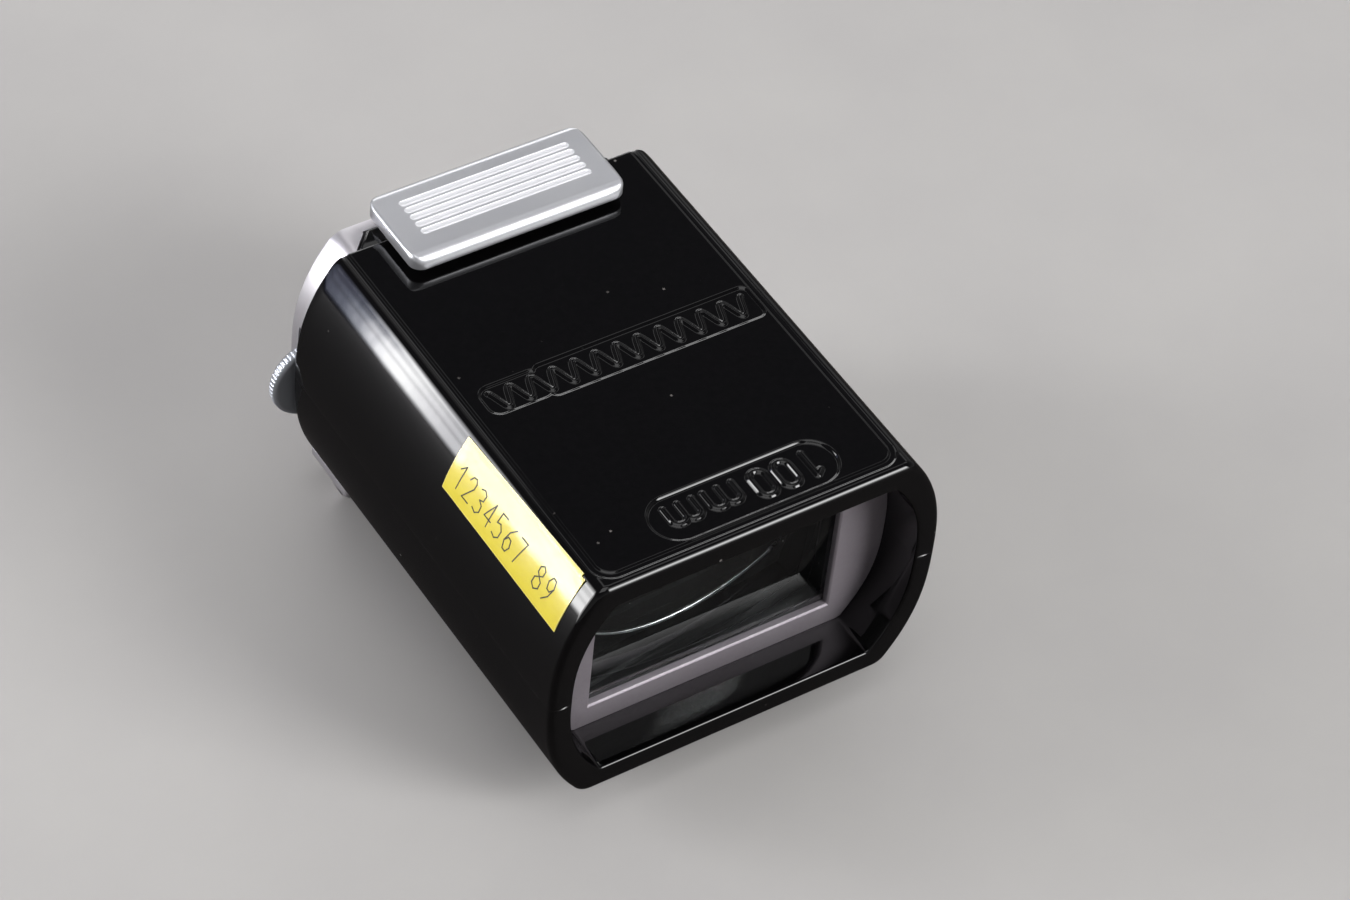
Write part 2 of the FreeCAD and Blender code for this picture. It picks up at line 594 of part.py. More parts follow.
def paper_label():
    """Thin label on the left bulge."""
    layer = outer(2.6, 22.7, 0.12).cut(outer(0.0, 30.0))
    window = [(-17.0, 0.9), (-18.6, 0.9), (-23.5, -6.9), (-20.0, -6.3)]
    label = layer.common(prism("y", window, 0, 30))
    return max(label.Solids, key=lambda solid: solid.Volume)


PIECES = (
    upper_shell, lower_shell, shell_screws, window_frame, front_lens, lens_spacer, field_mask,
    light_baffle, eyepiece_carriage, eyepiece_lens, eyepiece_ring, thumb_slide, slide_pins,
    slide_spring, rear_wall, parallax_wheel, wheel_screw, wheel_washer, shoe_bracket, eye_ring,
    hinge_pin, hinge_strap, strap_screws, tilt_spring, shoe_foot, foot_rivets, foot_springs,
    paper_label)

# each file is named after the function that builds its piece
os.makedirs("parts", exist_ok=True)
for build in PIECES:
    shape = build().copy()
    shape.translate(Vector(0, -FOOT_Y, TOP_Z))
    shape.exportStep("parts/" + build.__name__ + ".step")
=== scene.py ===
"""Shoe-mounted viewfinder: a black moulded body in two shells, with a lens window in the
hood, a satin thumb slide near the eye end, a yellow label on the left side, a parallax wheel
and a sprung shoe foot.

The frame is in metres with +Z up.  Pieces made here are drawn in body coordinates, in mm:
x right, y back from the hood face towards the eye end, z up from the flat top (so all of the
body lies below z = 0).  The label is on the -x side.
"""

import math
import bpy
import bmesh
import numpy as np
from mathutils import Matrix, Vector

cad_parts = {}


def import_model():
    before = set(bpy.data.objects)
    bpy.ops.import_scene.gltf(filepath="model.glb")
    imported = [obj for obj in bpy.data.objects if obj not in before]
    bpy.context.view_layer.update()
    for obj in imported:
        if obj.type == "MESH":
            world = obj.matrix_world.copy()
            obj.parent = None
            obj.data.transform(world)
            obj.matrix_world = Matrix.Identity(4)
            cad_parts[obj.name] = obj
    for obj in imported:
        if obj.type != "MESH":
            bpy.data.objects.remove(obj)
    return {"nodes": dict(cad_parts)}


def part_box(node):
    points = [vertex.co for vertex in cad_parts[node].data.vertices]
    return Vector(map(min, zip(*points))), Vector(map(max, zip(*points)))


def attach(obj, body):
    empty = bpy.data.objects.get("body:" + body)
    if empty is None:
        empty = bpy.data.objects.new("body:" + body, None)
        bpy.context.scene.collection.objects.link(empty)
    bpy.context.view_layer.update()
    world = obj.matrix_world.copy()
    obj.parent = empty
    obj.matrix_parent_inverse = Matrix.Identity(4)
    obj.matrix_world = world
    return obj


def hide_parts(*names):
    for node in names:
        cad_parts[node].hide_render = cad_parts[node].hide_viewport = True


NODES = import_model()["nodes"]
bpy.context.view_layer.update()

# ------------------------------------------------------------------ driving sizes
MM = 0.001
_lower_lo, _lower_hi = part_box("lower_shell")
HOOD_Y = _lower_lo[1]              # hood face, frame metres
TOP_Z = 0.0329                     # flat top, frame metres
BODY_LENGTH = (_lower_hi[1] - _lower_lo[1]) * 1000.0
BODY_HEIGHT = 28.4
MID_Z = -BODY_HEIGHT / 2.0         # mid height, where the shells meet
SEAM_Z = MID_Z + 0.004             # lower edge of the upper shell
BULGE = 2.63                       # power of the side curve
QUARTER_TURN = math.pi / 2


# ------------------------------------------------------------------ mesh helpers
def to_frame(points):
    """Body mm to frame metres."""
    moved = np.asarray(points, float) * MM
    moved[:, 1] += HOOD_Y
    moved[:, 2] += TOP_Z
    return moved


def smooth(obj, angle):
    obj.data.shade_smooth()
    obj.data.set_sharp_from_angle(angle=math.radians(angle))


def add_object(name, verts, faces, materials=(), smooth_angle=None, body="finder_body"):
    """Mesh object from body coordinates, riding on a body of the frame."""
    mesh = bpy.data.meshes.new(name)
    mesh.from_pydata([tuple(p) for p in to_frame(verts).tolist()], [], [tuple(f) for f in faces])
    mesh.validate()
    bm = bmesh.new()
    bm.from_mesh(mesh)
    bmesh.ops.recalc_face_normals(bm, faces=bm.faces)
    bm.to_mesh(mesh)
    bm.free()
    obj = bpy.data.objects.new(name, mesh)
    bpy.context.scene.collection.objects.link(obj)
    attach(obj, body)
    for material in materials:
        mesh.materials.append(material)
    if smooth_angle:
        smooth(obj, smooth_angle)
    return obj


def cell(corner, columns):
    """Quad of a vertex grid, from its lowest corner."""
    return (corner, corner + columns, corner + columns + 1, corner + 1)


def flip(quad):
    return (quad[0], quad[3], quad[2], quad[1])


def grid_faces(rows, columns, first=0):
    return [cell(first + row * columns + column, columns)
            for row in range(rows - 1) for column in range(columns - 1)]


def grid_border(rows, columns):
    """Vertices round the edge of a grid, in order."""
    return ([i * columns for i in range(rows)]
            + [(rows - 1) * columns + j for j in range(1, columns)]
            + [i * columns + columns - 1 for i in range(rows - 2, -1, -1)]
            + list(range(columns - 2, 0, -1)))


def tube_faces(rings, count, closed=False):
    """Quads between closed rings of `count` points; `closed` joins the last to the first."""
    faces = []
    for k in range(rings if closed else rings - 1):
        after = (k + 1) % rings
        for j in range(count):
            side = (j + 1) % count
            faces.append((k * count + j, k * count + side, after * count + side, after * count + j))
    return faces


def end_caps(rings, count):
    return [tuple(range(count))[::-1], tuple((rings - 1) * count + j for j in range(count))]


def spans(*ranges):
    """Values of several (start, stop, step) ranges in a row."""
    return [value for limits in ranges for value in np.arange(*limits)]


# ------------------------------------------------------------------ distance fields, mm
def inside(distance, width):
    """1 inside (distance < 0), 0 outside, smooth over width."""
    t = np.clip(0.5 - distance / width, 0.0, 1.0)
    return t * t * (3 - 2 * t)


def ridge(distance, at, half_width, soft):
    """1 along the line where distance equals `at`."""
    return inside(np.abs(distance - at) - half_width, soft)


def box_distance(x, y, center, half, radius):
    out_x = np.abs(x - center[0]) - half[0] + radius
    out_y = np.abs(y - center[1]) - half[1] + radius
    outer = np.hypot(np.maximum(out_x, 0), np.maximum(out_y, 0))
    return outer + np.minimum(np.maximum(out_x, out_y), 0) - radius


def stroke_distance(x, y, ends, radius):
    start_x, start_y, end_x, end_y = ends
    px, py = x - start_x, y - start_y
    dx, dy = end_x - start_x, end_y - start_y
    along = np.clip((px * dx + py * dy) / (dx * dx + dy * dy + 1e-12), 0, 1)
    return np.hypot(px - dx * along, py - dy * along) - radius


def round_drop(distance, radius):
    """Fall of a rounded edge at a distance in from it."""
    q = np.clip(radius - distance, 0.0, radius)
    return radius - np.sqrt(radius ** 2 - q ** 2)


# ------------------------------------------------------------------ node helpers
def rgba(value):
    """Grey level or RGB to RGBA."""
    rgb = value if isinstance(value, tuple) else (value,) * 3
    return rgb + (1,)


class Nodes:
    """Short spellings for the nodes of one tree.  Values may be numbers or sockets."""

    def __init__(self, tree):
        self.tree = tree
        self.nodes = tree.nodes

    def put(self, socket, value):
        if isinstance(value, bpy.types.NodeSocket):
            self.tree.links.new(value, socket)
        else:
            socket.default_value = value

    def add(self, kind, inputs=None, **settings):
        node = self.nodes.new(kind)
        for key, value in settings.items():
            setattr(node, key, value)
        for key, value in (inputs or {}).items():
            self.put(node.inputs[key], value)
        return node

    def math(self, operation, a, b=0.0, clamp=False):
        return self.add("ShaderNodeMath", {0: a, 1: b},
                        operation=operation, use_clamp=clamp).outputs[0]

    def times(self, a, b):
        return self.math("MULTIPLY", a, b)

    def vector_math(self, operation, a, b):
        return self.add("ShaderNodeVectorMath", {0: a, 1: b}, operation=operation)

    def ramp(self, source, stops):
        """Colour ramp of (position, colour or grey) stops."""
        node = self.add("ShaderNodeValToRGB", {0: source})
        elements = node.color_ramp.elements
        while len(elements) > 1:
            elements.remove(elements[-1])
        elements[0].position = stops[0][0]
        elements[0].color = rgba(stops[0][1])
        for position, color in stops[1:]:
            elements.new(position).color = rgba(color)
        return node.outputs[0]

    def fade(self, source, low, high):
        """0 below low, 1 above high."""
        return self.ramp(source, [(low, 0.0), (high, 1.0)])

    def remap(self, source, from_range, to_range):
        return self.add("ShaderNodeMapRange", {
            "From Min": from_range[0], "From Max": from_range[1],
            "To Min": to_range[0], "To Max": to_range[1], "Value": source}).outputs[0]

    def separate(self, vector):
        return self.add("ShaderNodeSeparateXYZ", {0: vector}).outputs


class Material(Nodes):
    """Principled material.  Texture scales are per metre of object space."""

    def __init__(self, name):
        self.data = bpy.data.materials.new(name)
        self.data.use_nodes = True
        super().__init__(self.data.node_tree)
        self.bsdf = self.nodes["Principled BSDF"]
        self.position = self.add("ShaderNodeTexCoord").outputs["Object"]

    def surface(self, **inputs):
        """Set or link inputs of the Principled node; underscores stand for spaces."""
        for key, value in inputs.items():
            self.put(self.bsdf.inputs[key.replace("_", " ")], value)

    def mapping(self, scale, rotation=(0, 0, 0)):
        return self.add("ShaderNodeMapping", {
            "Scale": scale, "Rotation": rotation, "Vector": self.position}).outputs[0]

    def noise(self, scale, detail=4.0, rough=0.55, vector=None, distortion=0.0):
        return self.add("ShaderNodeTexNoise", {
            "Scale": scale, "Detail": detail, "Roughness": rough, "Distortion": distortion,
            "Vector": vector or self.position}).outputs["Fac"]

    def spots(self, scale, core, rim):
        """Round dots: 1 within the core distance, 0 beyond the rim."""
        cells = self.add("ShaderNodeTexVoronoi", {"Scale": scale, "Vector": self.position})
        return self.ramp(cells.outputs["Distance"], [(core, 1.0), (rim, 0.0)])

    def scratches(self, scale, turn, stretch, threshold):
        """Fine lines turned about z."""
        vector = self.mapping((scale, scale / stretch, scale), (0, 0, turn))
        lines = self.noise(1.0, detail=3.0, rough=0.5, vector=vector, distortion=0.3)
        return self.fade(lines, *threshold)

    def mix(self, factor, a, b):
        # sockets 0, 6 and 7 are the factor and the two colours; output 2 is the colour
        a, b = [rgba(v) if isinstance(v, tuple) else v for v in (a, b)]
        return self.add("ShaderNodeMix", {0: factor, 6: a, 7: b}, data_type="RGBA").outputs[2]

    def edge(self, radius, gain):
        """0 on open faces, towards 1 on edges."""
        bevel = self.add("ShaderNodeBevel", {"Radius": radius}, samples=4)
        geometry = self.add("ShaderNodeNewGeometry")
        dot = self.vector_math("DOT_PRODUCT", bevel.outputs[0], geometry.outputs["Normal"])
        bend = self.math("SUBTRACT", 1.0, dot.outputs["Value"])
        return self.math("MULTIPLY", bend, gain, clamp=True)

    def bump(self, height, strength, distance):
        return self.add("ShaderNodeBump", {
            "Strength": strength, "Distance": distance, "Height": height}).outputs[0]

    def clear_where(self, factor, color):
        """Swap the surface for a transparent one where factor is 1."""
        clear = self.add("ShaderNodeBsdfTransparent", {0: color})
        mixed = self.add("ShaderNodeMixShader",
                         {0: factor, 1: self.bsdf.outputs[0], 2: clear.outputs[0]})
        self.put(self.nodes["Material Output"].inputs["Surface"], mixed.outputs[0])


# ------------------------------------------------------------------ materials
MIDDLE = (0.3, 0.7)                # part of the noise range that drives roughness


def moulded_black():
    """Glossy black moulding with scratches, pale specks and rubbed edges."""
    M = Material("moulded_black")
    smear = M.noise(90.0, detail=5.0, rough=0.6)
    color = M.mix(M.fade(M.noise(1500.0, detail=3.0), 0.3, 0.8),
                  (0.0010, 0.0009, 0.0010), (0.0022, 0.0019, 0.0022))
    one_way = M.scratches(900.0, turn=0.5, stretch=70.0, threshold=(0.70, 0.76))
    other_way = M.scratches(700.0, turn=-0.9, stretch=60.0, threshold=(0.72, 0.78))
    scratched = M.math("MAXIMUM", one_way, other_way)
    speck = M.spots(420.0, core=0.045, rim=0.075)
    speck = M.times(speck, M.fade(M.noise(160.0, detail=2.0), 0.56, 0.62))
    edge = M.edge(radius=0.00022, gain=5.0)
    worn = M.times(edge, M.fade(M.noise(1100.0), 0.45, 0.7))
    color = M.mix(M.times(speck, 0.7), color, (0.22, 0.2, 0.19))
    color = M.mix(M.times(worn, 0.35), color, (0.09, 0.08, 0.08))
    rough = M.remap(smear, (0.3, 0.75), (0.03, 0.085))
    rough = M.math("ADD", rough, M.times(scratched, 0.12))
    rough = M.math("ADD", rough, M.times(speck, 0.5), clamp=True)
    rough = M.math("ADD", rough, M.times(worn, 0.2), clamp=True)
    height = M.math("SUBTRACT", M.times(M.noise(260.0, detail=2.0), 0.6),
                    M.times(scratched, 0.08))
    M.surface(Base_Color=color, Roughness=rough, IOR=1.48,
              Normal=M.bump(height, strength=0.35, distance=0.00002))
    return M.data


def metal(name, color, rough, grain, scratch, tint, dirt, spread=0.08, bump=0.12,
          anisotropic=0.0, stretch=(1, 1, 1), metallic=1.0):
    """Plated or turned metal.

    grain and stretch set the fine noise, spread its reach in roughness, tint the cloudy
    second colour as a factor of the first, scratch and dirt the strength of lines and pits.
    """
    M = Material(name)
    grains = M.noise(grain, detail=3.0, rough=0.6, vector=M.mapping(stretch))
    cloud = M.noise(260.0, rough=0.6)
    tinted = tuple(a * b for a, b in zip(color, tint))
    shade = M.mix(M.fade(cloud, 0.35, 0.75), color, tinted)
    pit = M.spots(1700.0, core=0.05, rim=0.11)
    pit = M.times(pit, M.fade(M.noise(420.0, detail=2.0), 0.55, 0.66))
    shade = M.mix(M.times(pit, dirt), shade, (0.16, 0.13, 0.1))
    lines = M.scratches(1500.0, turn=0.4, stretch=50.0, threshold=(0.66, 0.74))
    roughness = M.remap(grains, MIDDLE, (rough - spread * 0.5, rough + spread))
    roughness = M.math("ADD", roughness, M.times(lines, 0.12 * scratch))
    roughness = M.math("ADD", roughness, M.times(pit, 0.3), clamp=True)
    hollow = M.times(M.math("MAXIMUM", lines, pit), 0.5 * scratch)
    height = M.math("SUBTRACT", grains, hollow)
    M.surface(Metallic=metallic, Anisotropic=anisotropic, Base_Color=shade,
              Roughness=roughness, Normal=M.bump(height, strength=bump, distance=0.00001))
    return M.data


def matte(name, color, rough):
    """Dusty matt black."""
    M = Material(name)
    grain = M.noise(5200.0, detail=3.0, rough=0.7)
    shade = M.mix(M.fade(M.noise(800.0, detail=3.0), 0.3, 0.75),
                  color, tuple(v * 2.0 for v in color))
    dust = M.spots(900.0, core=0.03, rim=0.06)
    shade = M.mix(M.times(dust, 0.1), shade, (0.2, 0.19, 0.18))
    M.surface(Base_Color=shade, Roughness=M.remap(grain, MIDDLE, (rough - 0.08, rough + 0.1)),
              Normal=M.bump(grain, strength=0.3, distance=0.00003))
    return M.data


def mask_painted():
    """Black paint on the faces, bare metal where the opening was cut."""
    M = Material("mask_painted")
    normal = M.separate(M.add("ShaderNodeNewGeometry").outputs["True Normal"])
    cut = M.math("LESS_THAN", M.math("ABSOLUTE", normal["Y"]), 0.75)
    grain = M.noise(2600.0, detail=3.0)
    rough = M.remap(grain, MIDDLE, (0.42, 0.58))
    M.surface(Base_Color=M.mix(cut, (0.003, 0.003, 0.0035), (0.5, 0.5, 0.52)),
              Metallic=cut,
              Roughness=M.math("ADD", rough, M.times(cut, -0.2)),
              Normal=M.bump(grain, strength=0.2, distance=0.00002))
    return M.data


def glass(name, tint):
    M = Material(name)
    M.surface(IOR=1.52, Transmission_Weight=1.0, Roughness=0.0, Specular_IOR_Level=0.15)
    patches = M.noise(500.0, rough=0.6)
    dust = M.times(M.spots(700.0, core=0.03, rim=0.055), M.fade(patches, 0.5, 0.6))
    smear = M.remap(M.noise(120.0, detail=3.0), (0.35, 0.75), (0.0, 0.025))
    M.surface(Base_Color=M.mix(dust, tint, (0.8, 0.8, 0.8)),
              Roughness=M.math("ADD", smear, M.times(dust, 0.3), clamp=True),
              Transmission_Weight=M.remap(dust, (0, 1), (1.0, 0.4)))
    # light reaches the parts behind the glass
    shadow_ray = M.add("ShaderNodeLightPath").outputs["Is Shadow Ray"]
    M.clear_where(shadow_ray, (0.40, 0.43, 0.43, 1))
    return M.data


def lining_painted_light():
    """Matt lining with a painted highlight: lighter streaky patches along its front lower edge,
    where light falls on it.
    """
    front_y = HOOD_Y + 0.0090
    M = Material("lining_painted_light")
    grain = M.noise(5200.0, detail=3.0, rough=0.7)
    axes = M.separate(M.position)
    depth = M.remap(axes["Y"], (front_y - 0.0002, front_y + 0.0012), (0.0, 1.0))
    near = M.ramp(depth, [(0.0, 1.0), (0.2, 0.9), (0.36, 0.0)])
    streaks = M.noise(1.0, detail=3.0, rough=0.6, vector=M.mapping((110.0, 900.0, 900.0)))
    patch = M.fade(streaks, 0.52, 0.6)
    low = M.math("LESS_THAN", axes["Z"], TOP_Z - 0.020)
    # painted highlight: lighter colour near the front edge of the low lining, standing in for the
    # light that falls there
    painted_light_patch = M.times(M.times(near, patch), low)
    M.surface(Base_Color=M.mix(painted_light_patch, (0.003, 0.003, 0.0035), (0.07, 0.067, 0.07)),
              Specular_IOR_Level=0.14,
              Roughness=M.remap(grain, MIDDLE, (0.42, 0.6)),
              Normal=M.bump(grain, strength=0.3, distance=0.00003))
    return M.data


def yellow_paper():
    """Coated yellow paper with fibres, soiling and pale edges."""
    M = Material("yellow_paper")
    fibre = M.noise(1900.0, detail=6.0, rough=0.7, vector=M.mapping((1.0, 0.35, 1.0)))
    soil = M.noise(170.0, rough=0.6)
    color = M.mix(M.fade(fibre, 0.3, 0.75), (0.76, 0.61, 0.011), (0.82, 0.68, 0.025))
    color = M.mix(M.ramp(soil, [(0.55, 0.0), (0.85, 0.35)]), color, (0.60, 0.44, 0.03))
    edge = M.edge(radius=0.00018, gain=4.0)
    color = M.mix(M.times(edge, 0.4), color, (0.95, 0.93, 0.78))
    M.surface(Coat_Weight=1.0, Coat_Roughness=0.11, Base_Color=color,
              Roughness=M.remap(fibre, MIDDLE, (0.34, 0.5)),
              Normal=M.bump(fibre, strength=0.25, distance=0.00002))
    return M.data


def printed_ink():
    M = Material("printed_ink")
    grain = M.noise(4200.0, detail=3.0)
    M.surface(Base_Color=M.mix(M.fade(grain, 0.45, 0.75), (0.02, 0.02, 0.016), (0.12, 0.1, 0.02)),
              Roughness=M.remap(grain, MIDDLE, (0.4, 0.6)))
    return M.data


BLACK = moulded_black()
SATIN = metal("satin_chrome", (0.66, 0.665, 0.69), rough=0.36, spread=0.05, grain=6000.0,
              anisotropic=0.2, scratch=0.12, stretch=(0.25, 1, 1), tint=(0.97, 0.97, 0.98),
              bump=0.06, dirt=0.02, metallic=0.72)
# painted highlight: a whiter, less metallic finish than the satin, so the flutes look as bright as
# where they catch the key light
FLUTE_HIGHLIGHT = metal("flute_painted_highlight", (0.93, 0.93, 0.96), rough=0.3, spread=0.05, grain=6000.0,
              anisotropic=0.2, scratch=0.1, stretch=(0.25, 1, 1), tint=(0.98, 0.98, 0.98),
              bump=0.05, dirt=0.02, metallic=0.3)
RIM = metal("rim_satin", (0.78, 0.76, 0.79), rough=0.36, spread=0.05, grain=4000.0,
            scratch=0.2, tint=(0.96, 0.94, 0.95), bump=0.06, dirt=0.08, metallic=0.8)
WHEEL = metal("wheel_satin", (0.50, 0.52, 0.56), rough=0.36, spread=0.05, grain=3000.0,
              scratch=0.15, tint=(0.95, 0.95, 0.95), bump=0.04, dirt=0.05, metallic=0.7)
CHROME = metal("bright_chrome", (0.78, 0.79, 0.80), rough=0.09, spread=0.06, grain=1400.0,
               scratch=0.6, tint=(0.93, 0.9, 0.86), bump=0.05, dirt=0.35)
NICKEL = metal("nickel_plate", (0.55, 0.54, 0.52), rough=0.22, grain=2600.0, anisotropic=0.2,
               scratch=0.9, stretch=(1, 0.3, 1), tint=(0.86, 0.8, 0.7), dirt=0.5)
BLUED = metal("blued_steel", (0.16, 0.17, 0.21), rough=0.28, grain=2600.0, anisotropic=0.2,
              scratch=0.7, stretch=(1, 0.3, 1), tint=(0.7, 0.6, 0.6), dirt=0.3)
BRASS = metal("turned_brass", (0.72, 0.5, 0.2), rough=0.24, grain=2200.0, anisotropic=0.2,
              scratch=0.6, stretch=(1, 1, 0.3), tint=(0.8, 0.7, 0.6), dirt=0.4)
FRAME = metal("satin_frame", (0.34, 0.31, 0.34), rough=0.5, grain=2400.0,
              scratch=0.4, tint=(0.94, 0.92, 0.93), dirt=0.3, metallic=0.55)
BARE = metal("bare_edge", (0.85, 0.84, 0.86), rough=0.35, spread=0.06, grain=3000.0,
             scratch=0.4, tint=(0.95, 0.94, 0.93), bump=0.1, dirt=0.3)
MATTE = matte("lining_matt", (0.0035, 0.0035, 0.004), rough=0.66)
RING_BLACK = matte("ring_black", (0.02, 0.02, 0.022), rough=0.42)
MASK = mask_painted()
SPACER = lining_painted_light()
WINDOW_GLASS = glass("window_glass", (0.93, 0.97, 0.96))
EYE_GLASS = glass("eye_glass", (0.93, 0.95, 1.0))
PAPER = yellow_paper()
INK = printed_ink()


# ------------------------------------------------------------------ shell section
class Outline:
    """Upper right quarter of a shell section: flat top, corner arc and bulged side."""

    ARC_STEPS = 34
    SIDE_STEPS = 34

    def __init__(self, half_flat, half_mid, top, corner_radius):
        self.half_mid, self.top, self.radius = half_mid, top, corner_radius
        self.swell = half_mid - half_flat
        self.drop = top - MID_Z
        self.corner_angle = math.atan2(1.0, self.swell * BULGE / self.drop)
        self.arc_x = half_flat - corner_radius * math.tan(self.corner_angle / 2.0)

    def arc(self, angle):
        """Point and outward normal on the corner, angle from straight up."""
        sin, cos = math.sin(angle), math.cos(angle)
        return (self.arc_x + self.radius * sin, self.top - self.radius + self.radius * cos), \
            (sin, cos)

    def side_x(self, z):
        u = min(1.0, max(0.0, (self.top - z) / self.drop))
        return self.half_mid - self.swell * (1.0 - u) ** BULGE

    def side_normal(self, z):
        u = (self.top - z) / self.drop
        slope = self.swell * BULGE * max(0.0, 1.0 - u) ** (BULGE - 1.0) / self.drop
        normal = Vector((1.0, slope)).normalized()
        return normal.x, normal.y

    def at_height(self, z):
        """x, normal x and normal z at a height."""
        if z > self.arc(self.corner_angle)[0][1]:
            cos = (z - self.top + self.radius) / self.radius
            point, normal = self.arc(math.acos(max(-1.0, min(1.0, cos))))
            return (point[0],) + normal
        return (self.side_x(z),) + self.side_normal(z)

    def quarter(self, flat_fractions):
        """Points and normals from the middle of the flat to the seam."""
        points = [(x * self.arc_x, self.top) for x in flat_fractions]
        normals = [(0.0, 1.0)] * len(points)
        for i in range(1, self.ARC_STEPS + 1):
            point, normal = self.arc(self.corner_angle * i / self.ARC_STEPS)
            points.append(point)
            normals.append(normal)
        corner_x, corner_z = points[-1]
        # the gap between the arc end and the side curve is closed gradually
        gap = corner_x - self.side_x(corner_z)
        for i in range(1, self.SIDE_STEPS + 1):
            s = i / self.SIDE_STEPS
            z = corner_z + (SEAM_Z - corner_z) * (1.0 - (1.0 - s) ** 1.2)
            points.append((self.side_x(z) + gap * (1 - s), z))
            normals.append(self.side_normal(z))
        return points, normals


OUTER = Outline(half_flat=16.95, half_mid=21.43, top=0.0, corner_radius=2.0)
INNER = Outline(half_flat=15.2, half_mid=19.05, top=-2.7, corner_radius=0.9)


# ------------------------------------------------------------------ shell relief
# Each function gives mm along the surface normal for arrays of body x and y.
def panel_groove(x, y):
    """Shallow groove with a faint lip, round three sides of the flat, open at the eye end."""
    front_y, center_y = 1.32, 60.0
    d = box_distance(x, y, (0.0, center_y), (16.2, center_y - front_y), 1.9)
    return (0.016 * ridge(d, at=0.52, half_width=0.03, soft=0.13)
            - 0.115 * ridge(d, at=0.0, half_width=0.33, soft=0.28))


def handling_marks(x, y):
    """A curl and three short scratches near the left front."""
    radius = 0.03
    curl = np.abs(np.hypot((x + 10.2) / 0.75, y - 8.35) - 0.55) - 0.02
    curl = np.where(x + y > -0.9, curl, 9.0)
    for ends in ((-10.45, 7.8, -9.75, 6.9), (-9.75, 6.9, -9.95, 6.5), (-10.7, 8.9, -10.2, 8.2)):
        curl = np.minimum(curl, stroke_distance(x, y, ends, radius))
    return -0.012 * inside(curl, 0.12)


def size_mark(x, y):
    """Round-ended recess with raised figures, from right to left: 1, 0, 0, m, m."""
    pen = 0.24
    recess = box_distance(x, y, (1.1, 4.75), (10.0, 2.75), 2.75)
    marks = np.full_like(x, 9.0)
    strokes = [(8.35, 3.3, 8.35, 6.3), (8.35, 3.3, 8.95, 3.8)]
    for center_x in (5.8, 3.2):
        ring = box_distance(x, y, (center_x, 4.8), (0.85, 1.62), 0.82)
        marks = np.minimum(marks, np.abs(ring) - pen * 0.95)
    for center_x in (-0.9, -5.2):
        for offset in (-1.55, 0.0, 1.55):
            strokes.append((center_x + offset, 4.4, center_x + offset, 6.3))
        for offset in (-0.78, 0.78):
            arch = np.abs(box_distance(x, y, (center_x + offset, 4.75), (0.78, 0.8), 0.74)) - pen
            marks = np.minimum(marks, np.where(y < 4.75, arch, 9.0))
    for ends in strokes:
        marks = np.minimum(marks, stroke_distance(x, y, ends, pen))
    return (-0.26 * inside(recess, 0.34)
            + 0.03 * ridge(recess, at=0.22, half_width=0.02, soft=0.2)
            + 0.22 * inside(marks - 0.02, 0.26) * inside(recess, 0.22))


def wave_band(x, y):
    """Shallow recess across the top with a raised running wave."""
    center_y, amplitude, pitch, chunk = 25.15, 1.2, 2.35, 60
    band = np.minimum(box_distance(x, y, (3.7, center_y), (11.9, 2.15), 0.8),
                      box_distance(x, y, (-11.0, 25.2), (3.4, 1.85), 1.2))
    near = (y > 22.0) & (y < 28.5)
    wave_x = np.linspace(-13.4, 14.6, 900)
    wave_y = center_y + amplitude * np.sin(wave_x * 2 * math.pi / pitch)
    near_x, near_y = x[near], y[near]
    nearest = np.full(near_x.shape, 9.0)
    for k in range(0, len(wave_x), chunk):
        dx = near_x[:, None] - wave_x[None, k:k + chunk]
        dy = near_y[:, None] - wave_y[None, k:k + chunk]
        nearest = np.minimum(nearest, np.sqrt((dx * dx + dy * dy).min(1)))
    wave = np.zeros_like(x)
    wave[near] = 0.2 * inside(nearest - 0.22, 0.3)
    return wave * inside(band, 0.24) - 0.2 * inside(band, 0.4)


def top_relief(x, y):
    uneven = 0.004 * np.sin(x * 0.55 + 0.8) * np.sin(y * 0.31 + 0.4)
    return (panel_groove(x, y) + handling_marks(x, y) + size_mark(x, y) + wave_band(x, y)
            + uneven)


def bottom_relief(x, y):
    """Four screw wells in the underside."""
    relief = 0.006 * np.sin(x * 0.5) * np.sin(y * 0.28 + 1.0)
    for center_x, center_y in ((-14.0, 17.0), (14.0, 17.0), (-14.0, 36.5), (14.0, 36.5)):
        d = np.hypot(x - center_x, y - center_y) - 1.98
        relief -= 1.18 * inside(d, 0.1) + 0.02 * inside(d - 0.3, 0.5)
    return relief


# ------------------------------------------------------------------ shells
HOOD_ROUND, REAR_ROUND = 0.72, 0.3     # edge radii of the outer surface
MOUTH_ROUND, REAR_CHAMFER = 0.28, 0.15  # edges of the inner surface


def lead_in(radius, count):
    """(y, inset) stations of a rounded front edge."""
    return [(radius * (1 - math.cos(a)), radius * (1 - math.sin(a)))
            for a in np.linspace(0, QUARTER_TURN, count)]


def outer_stations(upper, step):
    """(y, inset) pairs, close together where the relief is."""
    last = BODY_LENGTH - REAR_ROUND - 0.2
    if upper:
        ys = spans((HOOD_ROUND + 0.06, 2.2, step * 0.55), (2.3, 9.9, step), (10.4, 22.2, 0.6),
                   (22.3, 28.2, step), (28.6, last, 0.7))
    else:
        ys = spans((HOOD_ROUND + 0.5, 14.5, 0.7), (14.6, 19.4, step), (19.8, 33.8, 0.7),
                   (34.1, 38.9, step), (39.3, last, 0.7))
    rear = [(BODY_LENGTH - REAR_ROUND + REAR_ROUND * math.sin(a), REAR_ROUND * (1 - math.cos(a)))
            for a in np.linspace(0, QUARTER_TURN, 5)]
    return lead_in(HOOD_ROUND, 14) + [(y, 0.0) for y in ys] + rear


